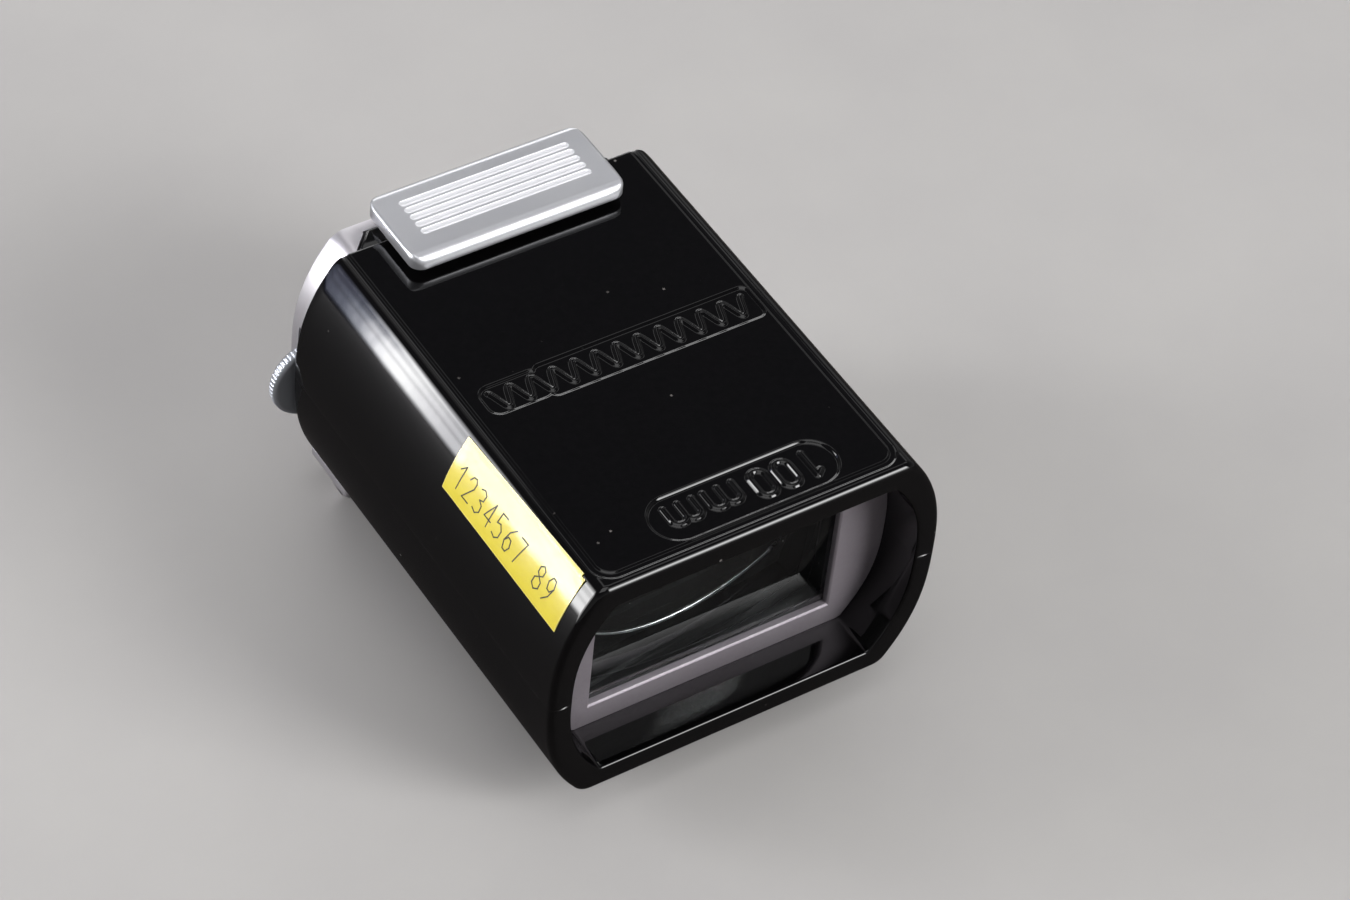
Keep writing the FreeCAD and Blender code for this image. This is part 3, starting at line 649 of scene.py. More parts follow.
def inner_stations():
    """(y, outset) pairs."""
    plain = (2.0, 5.2, 12.0, 24.0, 36.0, 46.0, BODY_LENGTH - REAR_CHAMFER)
    return (lead_in(MOUTH_ROUND, 5) + [(y, 0.0) for y in plain]
            + [(BODY_LENGTH, REAR_CHAMFER)])


def mirrored(quarter):
    """Left and right half of a section from its right quarter."""
    return np.array([(-x, z) for x, z in quarter[::-1]][:-1] + list(quarter))


def section_ring(points, normals, y, offset):
    section = points + normals * offset
    ys = np.full(len(points), y)
    if y < 0.01:
        ys[[0, -1]] += 0.1         # break the front corners at the seam
    return np.stack([section[:, 0], ys, section[:, 1]], 1)


def shell(name, upper):
    """Outer and inner surface joined at both ends and along the seam."""
    step = (0.11 if upper else 0.22) * 1.0
    corner_step = step * (0.5 if upper else 1.0)
    flat_width = 16.01
    flat = np.array(spans((0.0, 15.25, step), (15.3, 15.97, corner_step)) + [flat_width])
    outer, outer_normals = OUTER.quarter(flat / flat_width)
    # break the edge at the seam
    outer[-1] = (outer[-1][0] - 0.002, SEAM_Z)
    outer[-2] = (outer[-2][0], SEAM_Z + 0.02)
    inner, inner_normals = INNER.quarter(flat / flat_width)
    outer, outer_normals = mirrored(outer), mirrored(outer_normals)
    inner, inner_normals = mirrored(inner), mirrored(inner_normals)

    # the relief reaches a little way round the corners
    carved = (np.abs(outer[:, 0]) <= 17.35) & (outer[:, 1] > -1.2)
    relief = top_relief if upper else bottom_relief
    rings = []
    for y, inset in outer_stations(upper, step):
        ring = section_ring(outer, outer_normals, y, -inset)
        x = ring[carved, 0]
        height = relief(x, np.full_like(x, y))
        ring[carved, 0] += outer_normals[carved, 0] * height
        ring[carved, 2] += outer_normals[carved, 1] * height
        rings.append(ring)
    outer_count = len(rings)
    for y, outset in inner_stations():
        ring = section_ring(inner, inner_normals, y, outset)
        ring[[0, -1], 2] = SEAM_Z
        rings.append(ring)
    inner_count = len(rings) - outer_count
    verts = np.concatenate(rings)

    count = len(outer)
    first_inner = outer_count * count
    last_outer = first_inner - count
    last_inner = (len(rings) - 1) * count
    faces = grid_faces(outer_count, count)
    faces += [flip(quad) for quad in grid_faces(inner_count, count, first_inner)]
    for j in range(count - 1):
        faces.append((j, j + 1, first_inner + j + 1, first_inner + j))
        faces.append((last_outer + j, last_inner + j, last_inner + j + 1, last_outer + j + 1))
    for j in (0, count - 1):
        loop = [k * count + j for k in range(outer_count)]
        loop += [first_inner + k * count + j for k in range(inner_count - 1, -1, -1)]
        faces.append(tuple(loop if j else loop[::-1]))
    if not upper:
        verts[:, 2] = -BODY_HEIGHT - verts[:, 2]
    return add_object(name, verts, faces, [BLACK])


def slot_tool():
    """Round-cornered block that cuts the slot below the thumb slide."""
    center_x, center_y = -0.4, 44.975
    half_x, half_y, radius, steps = 4.3, 1.775, 0.6, 8
    verts = []
    for z in (-5.0, 2.0):
        for side_x, side_y, start in ((1, 1, 0), (-1, 1, 90), (-1, -1, 180), (1, -1, 270)):
            for i in range(steps + 1):
                a = math.radians(start + 90.0 * i / steps)
                verts.append((center_x + side_x * (half_x - radius) + radius * math.cos(a),
                              center_y + side_y * (half_y - radius) + radius * math.sin(a), z))
    count = 4 * (steps + 1)
    return add_object("slot_tool", verts, tube_faces(2, count) + end_caps(2, count))


def cut_away(obj, tool):
    modifier = obj.modifiers.new("cut", "BOOLEAN")
    modifier.operation = "DIFFERENCE"
    modifier.object = tool
    modifier.solver = "EXACT"
    depsgraph = bpy.context.evaluated_depsgraph_get()
    mesh = bpy.data.meshes.new_from_object(obj.evaluated_get(depsgraph))
    obj.modifiers.clear()
    obj.data = mesh
    bpy.data.objects.remove(tool, do_unlink=True)


def shells():
    upper = shell("top_shell", True)
    cut_away(upper, slot_tool())
    smooth(upper, 38.0)
    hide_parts("upper_shell")
    lower = shell("bottom_shell", False)
    smooth(lower, 38.0)
    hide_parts("lower_shell")


def tongue():
    """Tapered tongue of the top shell at the eye end."""
    center_x = -0.4
    # x, y
    outline = [(-14.4, 47.9), (13.4, 47.9), (13.4, 48.75), (11.9, 50.55), (-12.7, 50.55),
               (-14.4, 48.75)]
    # inset, z; the front edge is not inset
    profile = [(0.0, -2.2), (0.0, -0.28), (0.03, -0.14), (0.1, -0.05), (0.2, -0.02)]
    verts = [(x - math.copysign(inset, x - center_x), y - (inset if y > 48.0 else 0.0), z)
             for inset, z in profile for x, y in outline]
    rings, count = len(profile), len(outline)
    faces = tube_faces(rings, count) + end_caps(rings, count)
    add_object("shell_tongue", verts, faces, [BLACK], 40.0)


# ------------------------------------------------------------------ thumb slide
CAP_X0, CAP_X1 = -12.05, 11.75
CAP_Y0, CAP_Y1 = 42.4, 52.65
CAP_Z0, CAP_Z1 = 0.8, 2.4
CAP_CENTER = ((CAP_X0 + CAP_X1) / 2, (CAP_Y0 + CAP_Y1) / 2)
CAP_HALF = ((CAP_X1 - CAP_X0) / 2, (CAP_Y1 - CAP_Y0) / 2)
CAP_ROUND = 1.2                    # roll of the long edges
CAP_END_BEVEL = 0.42
REAR_CORNER, FRONT_CORNER = 2.1, 1.35
FLUTE_X0, FLUTE_X1 = -9.1, 9.05
FLUTE_FIRST_Y, FLUTE_PITCH, FLUTE_COUNT = 45.75, 1.06, 5
CUTTER_RADIUS, CUTTER_RISE = 0.55, 0.38  # flute section: a circle centred above the face
FLUTE_REACH = 0.46                 # half width of a flute


def flute_distance(x, y, row):
    """Distance from the centre line of a flute."""
    past_end = np.maximum(np.maximum(FLUTE_X0 - x, x - FLUTE_X1), 0.0)
    return np.hypot(past_end, y - (FLUTE_FIRST_Y + FLUTE_PITCH * row))


def cap_height(x, y):
    from_side = np.minimum(y - CAP_Y0, CAP_Y1 - y)
    from_end = np.minimum(x - CAP_X0, CAP_X1 - x)
    z = CAP_Z1 - round_drop(from_side, CAP_ROUND)
    bevel = np.clip(1.0 - from_end / CAP_END_BEVEL, 0.0, 1.0)
    z -= 0.5 * CAP_END_BEVEL * bevel ** 1.6
    # a narrow round all along the edge, wider towards the corners
    corner, reach = [box_distance(x, y, CAP_CENTER, CAP_HALF, radius)
                     for radius in (REAR_CORNER, FRONT_CORNER)], 2.2
    depth = -np.where(y > CAP_CENTER[1], *corner)
    width = (0.12 + 0.5 * np.clip(1.0 - from_end / reach, 0.0, 1.0)
             * np.clip(1.0 - from_side / reach, 0.0, 1.0))
    t = np.clip(1.0 - depth / width, 0.0, 1.0)
    z -= width * (1.0 - np.sqrt(1.0 - t * t)) * 0.8
    for row in range(FLUTE_COUNT):
        d = flute_distance(x, y, row)
        cut = CAP_Z1 + CUTTER_RISE - np.sqrt(np.maximum(CUTTER_RADIUS ** 2 - d ** 2, 0.0))
        lip = np.clip((FLUTE_REACH - d) / 0.1, 0.0, 1.0)
        z = np.where(d < FLUTE_REACH, np.minimum(z, cut) - 0.012 * lip, z)
    return z


def cap_grid_lines():
    """x and y lines of the cap, close together on rounds and flutes."""
    coarse = 1
    ends = [REAR_CORNER * (1 - math.cos(a)) for a in np.linspace(0, QUARTER_TURN, 30 // coarse)]
    candidates = [CAP_X0 + t for t in ends]
    candidates += spans((-9.9, -8.6, 0.05 * coarse), (-8.4, 8.4, 0.4), (8.5, 9.6, 0.05 * coarse))
    candidates += [CAP_X1 - t for t in ends]
    xs = []
    for x in sorted(candidates):
        if not xs or x - xs[-1] > 0.004:
            xs.append(x)
    rolls = [CAP_ROUND * (1 - math.cos(a)) for a in np.linspace(0, QUARTER_TURN, 26 // coarse)]
    ys = [CAP_Y0 + t for t in rolls]
    ys += spans((CAP_Y0 + CAP_ROUND + 0.1, 45.1, 0.25), (45.2, 50.6, 0.035 * coarse),
                (50.7, CAP_Y1 - CAP_ROUND - 0.05, 0.2))
    ys += [CAP_Y1 - t for t in rolls[::-1]]
    return xs, ys


def thumb_piece():
    """Fluted cap of the slide."""
    xs, ys = cap_grid_lines()
    x, y = np.meshgrid(xs, ys, indexing="ij")
    # squeeze the outer rows in at the rounded corners
    from_end = np.minimum(x - CAP_X0, CAP_X1 - x)
    mid, half = CAP_CENTER[1], CAP_HALF[1]
    inset = np.where(y > mid, round_drop(from_end, REAR_CORNER),
                     round_drop(from_end, FRONT_CORNER))
    y = mid + (y - mid) * (half - inset) / half
    verts = np.stack([x, y, cap_height(x, y)], -1).reshape(-1, 3)
    top_faces = grid_faces(len(xs), len(ys))

    # skirt: z and inset of each ring; the inset is taken as a share of these half sizes
    share_x, share_y = 11.9, 5.1
    border = grid_border(len(xs), len(ys))
    count = len(border)
    rim = verts[border]
    above, rings, skirt = border, [verts], []
    for z, inset in ((CAP_Z0 + 0.12, 0.0), (CAP_Z0 + 0.035, 0.035), (CAP_Z0, 0.12)):
        start = sum(len(ring) for ring in rings)
        below = list(range(start, start + count))
        rings.append(np.stack([
            CAP_CENTER[0] + (rim[:, 0] - CAP_CENTER[0]) * (1 - inset / share_x),
            CAP_CENTER[1] + (rim[:, 1] - CAP_CENTER[1]) * (1 - inset / share_y),
            np.full(count, z)], 1))
        for a in range(count):
            b = (a + 1) % count
            skirt.append((above[a], below[a], below[b], above[b]))
        above = below
    faces = top_faces + skirt + [tuple(above)]
    cap = add_object("thumb_piece", np.concatenate(rings), faces, [SATIN, FLUTE_HIGHLIGHT], 50.0,
                     body="slide")

    # painted highlight: the flutes get the whiter finish in place of the key light they reflect
    centers = verts[np.array(top_faces)].mean(1)
    nearest = np.min([flute_distance(centers[:, 0], centers[:, 1], row)
                      for row in range(FLUTE_COUNT)], axis=0)
    for polygon, bright in zip(cap.data.polygons, nearest < 0.40):
        polygon.material_index = int(bright)
    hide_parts("thumb_slide")


# ------------------------------------------------------------------ label
SIDE_Z = np.linspace(-0.02, -9.5, 400)
_side_x = np.array([OUTER.at_height(z)[0] for z in SIDE_Z])
SIDE_ARC = np.concatenate([[0], np.cumsum(np.hypot(np.diff(_side_x), np.diff(SIDE_Z)))])
LABEL_TOP, LABEL_BOTTOM = 1.32, 7.05   # length down the side curve
LABEL_REAR_Y, LABEL_FRONT_Y = 22.7, 2.55
LABEL_THICKNESS = 0.09


def on_side(s, y, offset):
    """Point on the left side, s down the curve and offset outwards."""
    z = float(np.interp(s, SIDE_ARC, SIDE_Z))
    x, normal_x, normal_z = OUTER.at_height(z)
    return (-(x + normal_x * offset), y, z + normal_z * offset)


def label_place(u, v):
    """s and y for u 0..1 from the eye end to the hood, v 0..1 from the top edge down.

    The last terms shift the corners of a label stuck on slightly askew.
    """
    s = LABEL_TOP + (LABEL_BOTTOM - LABEL_TOP) * v - 0.52 * u * (1 - v) + 0.1 * u * v
    y = LABEL_REAR_Y + (LABEL_FRONT_Y - LABEL_REAR_Y) * u - 0.35 * v - 0.2 * u * (1 - v)
    return s, y


def label_lift(u, v):
    """Gap under the paper: curled front top corner, raised rear end, slight waves."""
    lift = 0.02 + 0.10 * (max(0.0, u - 0.93) / 0.07) ** 2 * (max(0.0, 0.25 - v) / 0.25)
    lift += 0.03 * (max(0.0, 0.05 - u) / 0.05)
    lift += 0.008 * math.sin(u * 21.0) * math.sin(v * 9.0 + 1.0)
    return max(0.012, lift)


def side_label():
    """Paper label with its front top corner cut off."""
    nu, nv, notch = 64, 22, 2
    columns = nv + 1
    verts = []
    for thickness in (0.0, LABEL_THICKNESS):
        for i in range(nu + 1):
            for j in range(columns):
                u, v = i / nu, j / nv
                verts.append(on_side(*label_place(u, v), label_lift(u, v) + thickness))
    layer = (nu + 1) * columns
    faces, border = [], {}
    for i in range(nu):
        for j in range(nv):
            if i >= nu - notch and j == 0:
                continue
            under = cell(i * columns + j, columns)
            faces += [tuple(k + layer for k in under), flip(under)]
            # edges met once only are on the border
            for a, b in zip(under, under[1:] + under[:1]):
                if border.pop((b, a), None) is None:
                    border[(a, b)] = True
    faces += [(layer + a, a, b, layer + b) for a, b in border]
    used = sorted({k for face in faces for k in face})
    renumber = {k: i for i, k in enumerate(used)}
    label = add_object("side_label", [verts[k] for k in used],
                       [[renumber[k] for k in face] for face in faces], [PAPER], 50.0)
    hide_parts("paper_label")


# single-stroke digits: x, y points with a height of 1
DIGITS = {
    "1": [(0.1, 0.75), (0.5, 1.0), (0.5, 0.0)],
    "2": [(0.02, 0.78), (0.2, 0.97), (0.5, 1.0), (0.72, 0.85), (0.7, 0.62), (0.0, 0.0),
          (0.76, 0.0)],
    "3": [(0.02, 0.92), (0.35, 1.0), (0.68, 0.88), (0.66, 0.62), (0.3, 0.54), (0.7, 0.42),
          (0.74, 0.16), (0.4, 0.0), (0.0, 0.08)],
    "4": [(0.58, 0.0), (0.58, 1.0), (0.0, 0.3), (0.8, 0.3)],
    "5": [(0.72, 1.0), (0.1, 1.0), (0.06, 0.56), (0.42, 0.62), (0.74, 0.42), (0.72, 0.14),
          (0.38, 0.0), (0.0, 0.08)],
    "6": [(0.64, 1.0), (0.2, 0.72), (0.02, 0.32), (0.18, 0.02), (0.52, 0.0), (0.74, 0.24),
          (0.6, 0.52), (0.28, 0.54), (0.04, 0.34)],
    "7": [(0.0, 1.0), (0.74, 1.0), (0.28, 0.0)],
    "8": [(0.36, 0.54), (0.08, 0.66), (0.08, 0.88), (0.36, 1.0), (0.64, 0.88), (0.64, 0.66),
          (0.36, 0.54), (0.02, 0.4), (0.0, 0.14), (0.36, 0.0), (0.74, 0.14), (0.72, 0.4),
          (0.36, 0.54)],
    "9": [(0.1, 0.0), (0.54, 0.28), (0.72, 0.68), (0.56, 0.98), (0.22, 1.0), (0.0, 0.76),
          (0.14, 0.48), (0.46, 0.46), (0.7, 0.66)],
}


def label_digits():
    """Thin raised strokes of ink; each line is cut in steps to follow the side."""
    height, width, advance, pen = 2.5, 1.4, 1.76, 0.13
    margin, baseline, steps = 1.3, 5.9, 4
    verts, faces = [], []

    def bar(left, x0, y0, x1, y1):
        dx, dy = x1 - x0, y1 - y0
        length = math.hypot(dx, dy)
        side_x, side_y = -dy / length * pen / 2, dx / length * pen / 2
        over_x, over_y = dx / length * pen * 0.45, dy / length * pen * 0.45
        corners = [(x0 - over_x + side_x, y0 - over_y + side_y),
                   (x1 + over_x + side_x, y1 + over_y + side_y),
                   (x1 + over_x - side_x, y1 + over_y - side_y),
                   (x0 - over_x - side_x, y0 - over_y - side_y)]
        base = len(verts)
        for offset in (0.118, 0.128):
            verts.extend(on_side(baseline - y, LABEL_REAR_Y - (left + x), offset)
                         for x, y in corners)
        faces.extend([(base + 4, base + 5, base + 6, base + 7),
                      (base, base + 3, base + 2, base + 1)])
        for a in range(4):
            b = (a + 1) % 4
            faces.append((base + a, base + b, base + 4 + b, base + 4 + a))

    for place, digit in enumerate("1234567 89"):
        line = DIGITS.get(digit, [])
        for (ax, ay), (bx, by) in zip(line[:-1], line[1:]):
            for k in range(steps):
                ends = [((ax + (bx - ax) * t) * width, (ay + (by - ay) * t) * height)
                        for t in (k / steps, (k + 1) / steps)]
                bar(margin + place * advance, *ends[0], *ends[1])
    add_object("label_digits", verts, faces, [INK])


# ------------------------------------------------------------------ hood and wheel parts
def front_lens():
    """Window lens: flat front, hollow back, blackened edge."""
    half_x, half_z, front_y, bevel = 14.4, 9.7, 6.0, 0.12
    thickness, most, curve = 1.1, 3.0, 140.0

    def lines(half, margin, count):
        return np.concatenate([[-half, -half + bevel],
                               np.linspace(-half + margin, half - margin, count),
                               [half - bevel, half]])

    xs, zs = lines(half_x, 0.5, 72), lines(half_z, 0.4, 48)
    verts = []
    for back in (False, True):
        for x in xs:
            for z in zs:
                at_edge = abs(x) > half_x - 1e-6 or abs(z) > half_z - 1e-6
                cut = bevel if at_edge else 0.0
                if back:
                    y = min(front_y + most, front_y + thickness + (x * x + z * z) / curve) - cut
                else:
                    y = front_y + cut
                verts.append((x, y, MID_Z + z))
    rows, columns = len(xs), len(zs)
    layer = rows * columns
    faces = []
    for front, rear in zip(grid_faces(rows, columns), grid_faces(rows, columns, layer)):
        faces += [front, flip(rear)]
    border = grid_border(rows, columns)
    for p, q in zip(border, border[1:] + border[:1]):
        faces.append((p, layer + p, layer + q, q))
    lens = add_object("window_lens", verts, faces, [WINDOW_GLASS, MATTE], 30.0)
    for polygon in lens.data.polygons:
        if abs(polygon.normal[1]) < 0.5:
            polygon.material_index = 1
    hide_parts("front_lens")


def mask_edge():
    """Folded lower lip of the mask opening, with its bare metal bead."""
    center_z, radius, bead, y, foot_z = -5.6, 17.4, 0.24, 11.78, -23.35
    start, end = math.radians(-129.0), math.radians(-51.0)
    steps = 90
    # radius and y offset of the bead section
    section = [(radius - 0.02 + bead * math.cos(b), 0.1 - bead + bead * math.sin(b))
               for b in np.linspace(math.pi * 0.75, -math.pi * 0.25, 12)]
    verts = []
    for i in range(steps + 1):
        a = start + (end - start) * i / steps
        cos, sin = math.cos(a), math.sin(a)
        verts += [(r * cos, y + dy, center_z + r * sin) for r, dy in section]
        lip_z = min(center_z + (radius + 0.25) * sin - 0.02, foot_z)
        lip_x = (radius + 0.15) * cos
        verts += [(lip_x, y - 0.02, lip_z), (lip_x, y + 0.09, lip_z)]
    count = len(section) + 2
    faces = tube_faces(steps + 1, count) + end_caps(steps + 1, count)
    edge = add_object("mask_edge", verts, faces, [BARE, MASK], 50.0)
    for polygon in edge.data.polygons:
        on_lip = any(v % count >= len(section) for v in polygon.vertices)
        polygon.material_index = int(on_lip)


def wheel_boss():
    """Boss in the lower shell that carries the wheel screw; its bore is off centre."""
    center_x, center_z, radius, bore, bore_shift = -18.25, -16.85, 2.0, 0.86, -0.3
    count = 48
    # y, radius
    profile = [(46.0, bore), (46.0, radius - 0.1), (46.1, radius), (48.5, radius),
               (48.58, radius - 0.08), (48.58, bore)]
    verts = []
    for y, r in profile:
        shift = bore_shift if r == bore else 0.0
        for k in range(count):
            a = 2 * math.pi * k / count
            verts.append((center_x + shift + r * math.cos(a), y, center_z + r * math.sin(a)))
    faces = tube_faces(len(profile), count, closed=True)
    add_object("wheel_boss", verts, faces, [BLACK], 40.0)


# ------------------------------------------------------------------ finishes of kept pieces
# node, material, bevel width in mm (None: no bevel), angle limit in degrees, segments
FINISHES = [
    ("shell_screws", NICKEL, 0.08, 32.0, 2),
    ("window_frame", FRAME, 0.03, 40.0, 2),
    ("lens_spacer", SPACER, 0.06, 40.0, 2),
    ("field_mask", MASK, None, None, None),
    ("light_baffle", MATTE, None, None, None),
    ("rear_wall", BLACK, 0.08, 40.0, 2),
    ("eyepiece_carriage", MATTE, 0.12, 40.0, 2),
    ("eyepiece_lens", EYE_GLASS, None, None, None),
    ("eyepiece_ring", RING_BLACK, 0.06, 40.0, 2),
    ("slide_pins", BRASS, 0.05, 32.0, 2),
    ("slide_spring", BLUED, 0.02, 32.0, 2),
    ("parallax_wheel", WHEEL, 0.05, 40.0, 2),
    ("wheel_screw", NICKEL, 0.06, 40.0, 2),
    ("wheel_washer", BLUED, 0.03, 40.0, 2),
    ("shoe_bracket", RIM, 0.16, 40.0, 3),
    ("eye_ring", CHROME, 0.14, 40.0, 3),
    ("shoe_foot", NICKEL, 0.14, 40.0, 3),
    ("foot_rivets", NICKEL, 0.18, 40.0, 3),
    ("foot_springs", BLUED, 0.03, 40.0, 2),
    ("hinge_pin", NICKEL, 0.1, 40.0, 2),
    ("hinge_strap", NICKEL, 0.1, 40.0, 2),
    ("strap_screws", NICKEL, 0.12, 40.0, 2),
    ("tilt_spring", BLUED, 0.03, 40.0, 2),
]


def smooth_group():
    """Geometry nodes: smooth shading with edges over 32 degrees kept sharp."""
    group = bpy.data.node_groups.new("smooth_by_angle", "GeometryNodeTree")
    for direction in ("INPUT", "OUTPUT"):
        group.interface.new_socket("Geometry", in_out=direction,
                                   socket_type="NodeSocketGeometry")
    tree = Nodes(group)
    source = tree.add("NodeGroupInput").outputs[0]
    result = tree.add("NodeGroupOutput")
    faces = tree.add("GeometryNodeSetShadeSmooth", {"Geometry": source}, domain="FACE")
    edges = tree.add("GeometryNodeSetShadeSmooth",
                     {"Geometry": faces.outputs[0], "Shade Smooth": False}, domain="EDGE")
    angle = tree.add("GeometryNodeInputMeshEdgeAngle").outputs["Unsigned Angle"]
    sharp = tree.add("FunctionNodeCompare", {0: angle, 1: math.radians(32.0)},
                     data_type="FLOAT", operation="GREATER_THAN")
    tree.put(edges.inputs["Selection"], sharp.outputs[0])
    tree.put(result.inputs[0], edges.outputs[0])
    return group


def finish_pieces():
    group = smooth_group()
    for name, material, width, angle, segments in FINISHES:
        piece = NODES[name]
        if not piece.material_slots:
            piece.data.materials.append(material)
        for slot in piece.material_slots:
            slot.material = material
        if width:
            weld = piece.modifiers.new("weld", "WELD")
            weld.merge_threshold = 1e-6
            bevel = piece.modifiers.new("soft_edges", "BEVEL")
            bevel.width = width * MM
            bevel.segments = segments
            bevel.limit_method = "ANGLE"
            bevel.angle_limit = math.radians(angle)
        piece.modifiers.new("smooth_by_angle", "NODES").node_group = group


# ------------------------------------------------------------------ stage
def floor():
    """Pale floor that looks dark in reflections and clear from below."""
    bpy.ops.mesh.primitive_grid_add(x_subdivisions=2, y_subdivisions=2, size=6.0,
                                    location=(0, 0, -0.00002))
    sheet = bpy.context.object
    sheet.name = "studio_floor"
    M = Material("pale_floor")
    pale = M.mix(M.fade(M.noise(40.0), 0.3, 0.7), (0.50, 0.485, 0.475), (0.53, 0.515, 0.50))
    glossy_ray = M.add("ShaderNodeLightPath").outputs["Is Glossy Ray"]
    M.surface(Base_Color=M.mix(glossy_ray, pale, (0.035, 0.030, 0.028)), Roughness=0.75)
    M.clear_where(M.add("ShaderNodeNewGeometry").outputs["Backfacing"], (1, 1, 1, 1))
    sheet.data.materials.append(M.data)


LIGHT_TARGET = (0.0, -0.018, 0.02)


def panel(name, azimuth, elevation, distance, size, radiance=1.0, target=LIGHT_TARGET):
    """Panel light facing the target; angles in degrees, azimuth from +x."""
    a, e = math.radians(azimuth), math.radians(elevation)
    direction = Vector((math.cos(e) * math.cos(a), math.cos(e) * math.sin(a), math.sin(e)))
    direction = direction.normalized()
    light = bpy.data.lights.new(name, "AREA")
    light.shape = "RECTANGLE"
    light.size, light.size_y = size
    light.energy = radiance * math.pi * size[0] * size[1]
    obj = bpy.data.objects.new(name, light)
    obj.location = Vector(target) + direction * distance
    obj.rotation_mode = "QUATERNION"
    obj.rotation_quaternion = (-direction).to_track_quat("-Z", "Y")
    bpy.context.scene.collection.objects.link(obj)
    return light


def degree_ramp(tree, angle, stops):
    low, high = stops[0][0], stops[-1][0]
    source = tree.math("DIVIDE", tree.math("SUBTRACT", angle, low), high - low)
    return tree.ramp(source, [((stop - low) / (high - low), color) for stop, color in stops])


def shape_radiance(light, strength, elevation_stops, azimuth_stops, target=LIGHT_TARGET,
                   lean=0.0, lean_below=0.0, lean_from=0.0):
    """Make radiance follow the direction seen from the target, by stops in degrees.

    lean shifts the azimuth by the square of the elevation above lean_from, and lean_below
    shifts it back in proportion to the elevation below.
    """
    light.use_nodes = True
    tree = Nodes(light.node_tree)
    position = tree.add("ShaderNodeNewGeometry").outputs["Position"]
    x, y, z = tree.separate(tree.vector_math("SUBTRACT", position, target).outputs[0])
    level = tree.math("SQRT", tree.math("ADD", tree.times(x, x), tree.times(y, y)))
    degrees = 180.0 / math.pi
    elevation = tree.times(tree.math("ARCTAN2", z, level), degrees)
    azimuth = tree.times(tree.math("ARCTAN2", y, x), degrees)
    if lean:
        above = tree.math("MAXIMUM", tree.math("SUBTRACT", elevation, lean_from), 0.0)
        azimuth = tree.math("ADD", azimuth, tree.times(tree.math("POWER", above, 2.0), lean))
        below = tree.math("MAXIMUM", tree.math("SUBTRACT", lean_from, elevation), 0.0)
        azimuth = tree.math("SUBTRACT", azimuth, tree.times(below, lean_below))
    color = tree.vector_math("MULTIPLY", degree_ramp(tree, elevation, elevation_stops),
                             degree_ramp(tree, azimuth, azimuth_stops))
    emission = tree.nodes["Emission"]
    tree.put(emission.inputs["Color"], color.outputs[0])
    tree.put(emission.inputs["Strength"], strength)


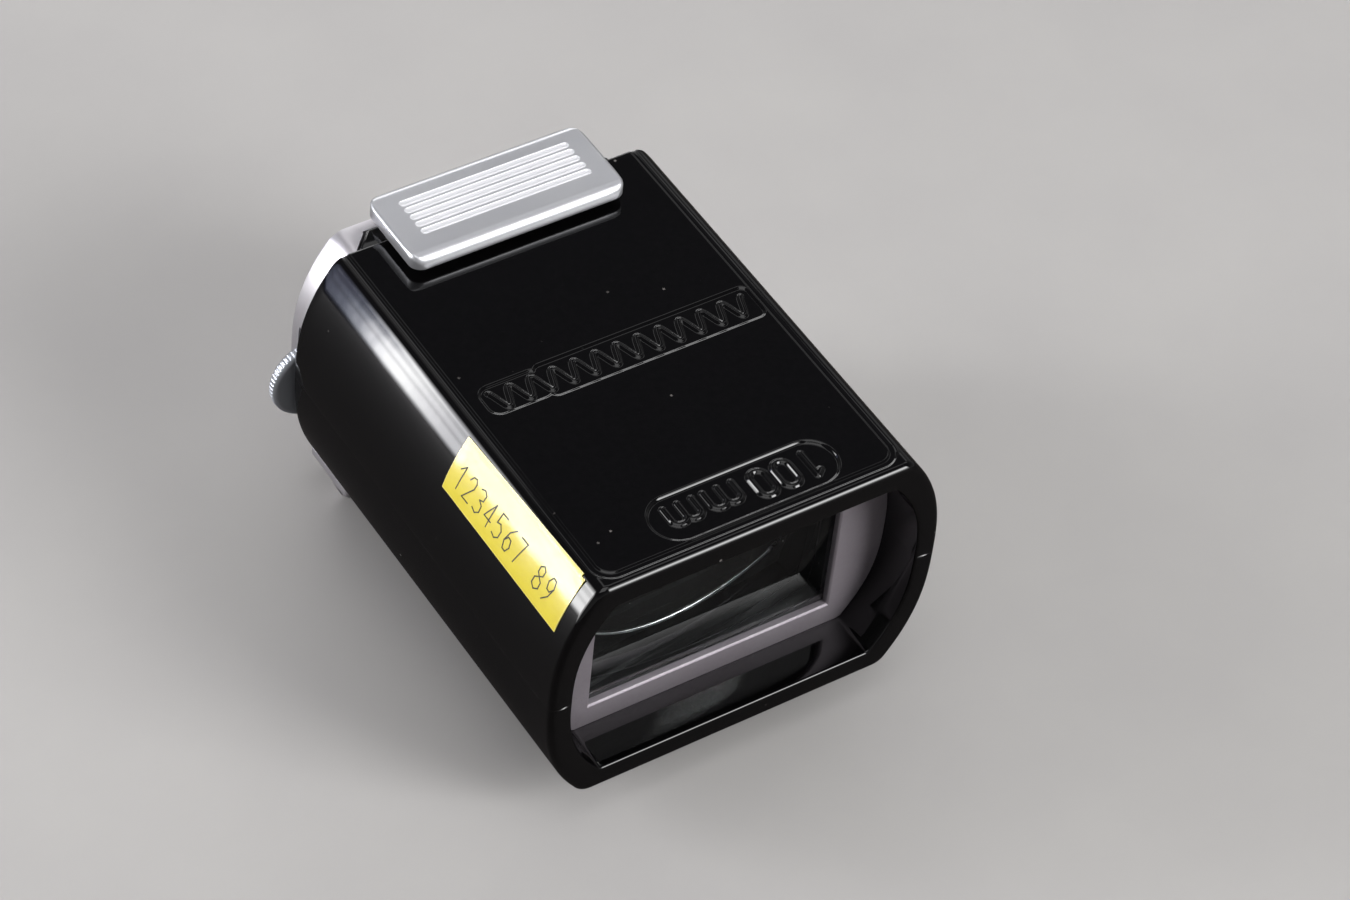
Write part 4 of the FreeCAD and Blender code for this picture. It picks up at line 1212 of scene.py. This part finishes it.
def lights():
    # tall key in front, brightest between 22 and 42 degrees up
    key = panel("key", azimuth=-60.0, elevation=33.0, distance=0.85, size=(0.42, 0.98))
    shape_radiance(
        key, 15.0,
        elevation_stops=[(3, 0.0), (7, 0.12), (15, 0.2), (22, 0.7), (28, 1.0), (38, 0.95),
                         (42, 0.5), (45, 0.2), (49, 0.13), (57, 0.07), (63, 0.03), (65, 0.0)],
        azimuth_stops=[(-76, 0.0), (-71, 0.8), (-66, 1.0), (-54, 1.0), (-49, 0.8), (-44, 0.0)])
    panel("overhead", azimuth=-130.0, elevation=76.0, distance=1.1, size=(0.8, 0.8),
          radiance=1.6)
    panel("rear_low", azimuth=66.0, elevation=16.0, distance=0.95, size=(0.50, 0.32),
          radiance=2.8)
    # panel behind the left side: leaning right edge, soft striations
    target = (-0.018, -0.010, 0.031)
    left = panel("left_panel", azimuth=152.0, elevation=17.0, distance=0.62,
                 size=(0.56, 0.56), target=target)
    shape_radiance(
        left, 24.0, target=target, lean=0.014, lean_below=0.06, lean_from=8.0,
        elevation_stops=[(-4, 0.0), (-2.4, 0.05), (-1.4, 0.25), (0.2, 0.9), (1.6, 1.0),
                         (3.8, 1.0), (5.2, 0.7), (6.6, 1.0), (8.0, 1.0), (10.0, 0.75),
                         (14.0, 0.8), (19.0, 1.0), (26.0, 0.9), (33.0, 0.4), (38.0, 0.06),
                         (41.0, 0.0)],
        azimuth_stops=[(128, 0.0), (131, (0.02, 0.023, 0.035)), (140.4, (0.045, 0.048, 0.07)),
                       (141.0, (0.08, 0.09, 0.12)), (141.6, (0.27, 0.28, 0.32)),
                       (142.1, (0.92, 0.92, 0.95)), (142.8, 1.0), (143.5, (0.72, 0.72, 0.74)),
                       (144.4, (0.48, 0.48, 0.50)), (146.0, (0.43, 0.43, 0.45)), (149.0, 0.75),
                       (152.0, 0.6), (156.0, 0.3), (172.0, 0.12), (176.0, 0.0)])
    # ring of panels round the mirror direction of the flat top:
    # azimuth and elevation from the middle of the ring, size, radiance
    ring_azimuth, ring_elevation = 53.0, 46.0
    ring = [(0.0, 21.0, (0.62, 0.20), 0.9), (0.0, -21.0, (0.62, 0.20), 0.5),
            (-31.0, 0.0, (0.20, 0.30), 0.9), (31.0, 0.0, (0.20, 0.30), 0.9)]
    for k, (azimuth, elevation, size, radiance) in enumerate(ring):
        panel("ring%d" % k, ring_azimuth + azimuth, ring_elevation + elevation, 0.9, size,
              radiance)


def world():
    """Dim grey surroundings, darker overhead."""
    studio = bpy.data.worlds.new("studio")
    studio.use_nodes = True
    tree = Nodes(studio.node_tree)
    up = tree.separate(tree.add("ShaderNodeTexCoord").outputs["Generated"])["Z"]
    color = tree.ramp(tree.remap(up, (-1.0, 1.0), (0.0, 1.0)),
                      [(0.5, 0.30), (0.8, (0.09, 0.09, 0.1))])
    background = tree.nodes["Background"]
    tree.put(background.inputs["Color"], color)
    tree.put(background.inputs["Strength"], 1.0)
    scene = bpy.context.scene
    scene.world = studio
    scene.view_settings.view_transform = "Standard"
    scene.view_settings.look = "None"


def camera():
    """Long lens above the left front of the hood."""
    data = bpy.data.cameras.new("camera")
    data.sensor_fit = "HORIZONTAL"
    data.sensor_width = 36.0
    data.lens = 113.5608
    data.clip_start = 0.01
    data.clip_end = 20.0
    obj = bpy.data.objects.new("camera", data)
    bpy.context.scene.collection.objects.link(obj)
    right = Vector((0.8439056, -0.5304457, 0.0803159))
    up = Vector((0.3385028, 0.6426114, 0.6873620))
    backward = Vector((-0.4162201, -0.5528815, 0.7218607))
    place = Vector(to_frame([(-165.1, -204.9, 283.1)])[0])
    turn = Matrix((right, up, backward)).transposed()
    obj.matrix_world = Matrix.Translation(place) @ turn.to_4x4()
    bpy.context.scene.camera = obj


shells()
tongue()
thumb_piece()
side_label()
label_digits()
front_lens()
mask_edge()
wheel_boss()
finish_pieces()
floor()
lights()
world()
camera()
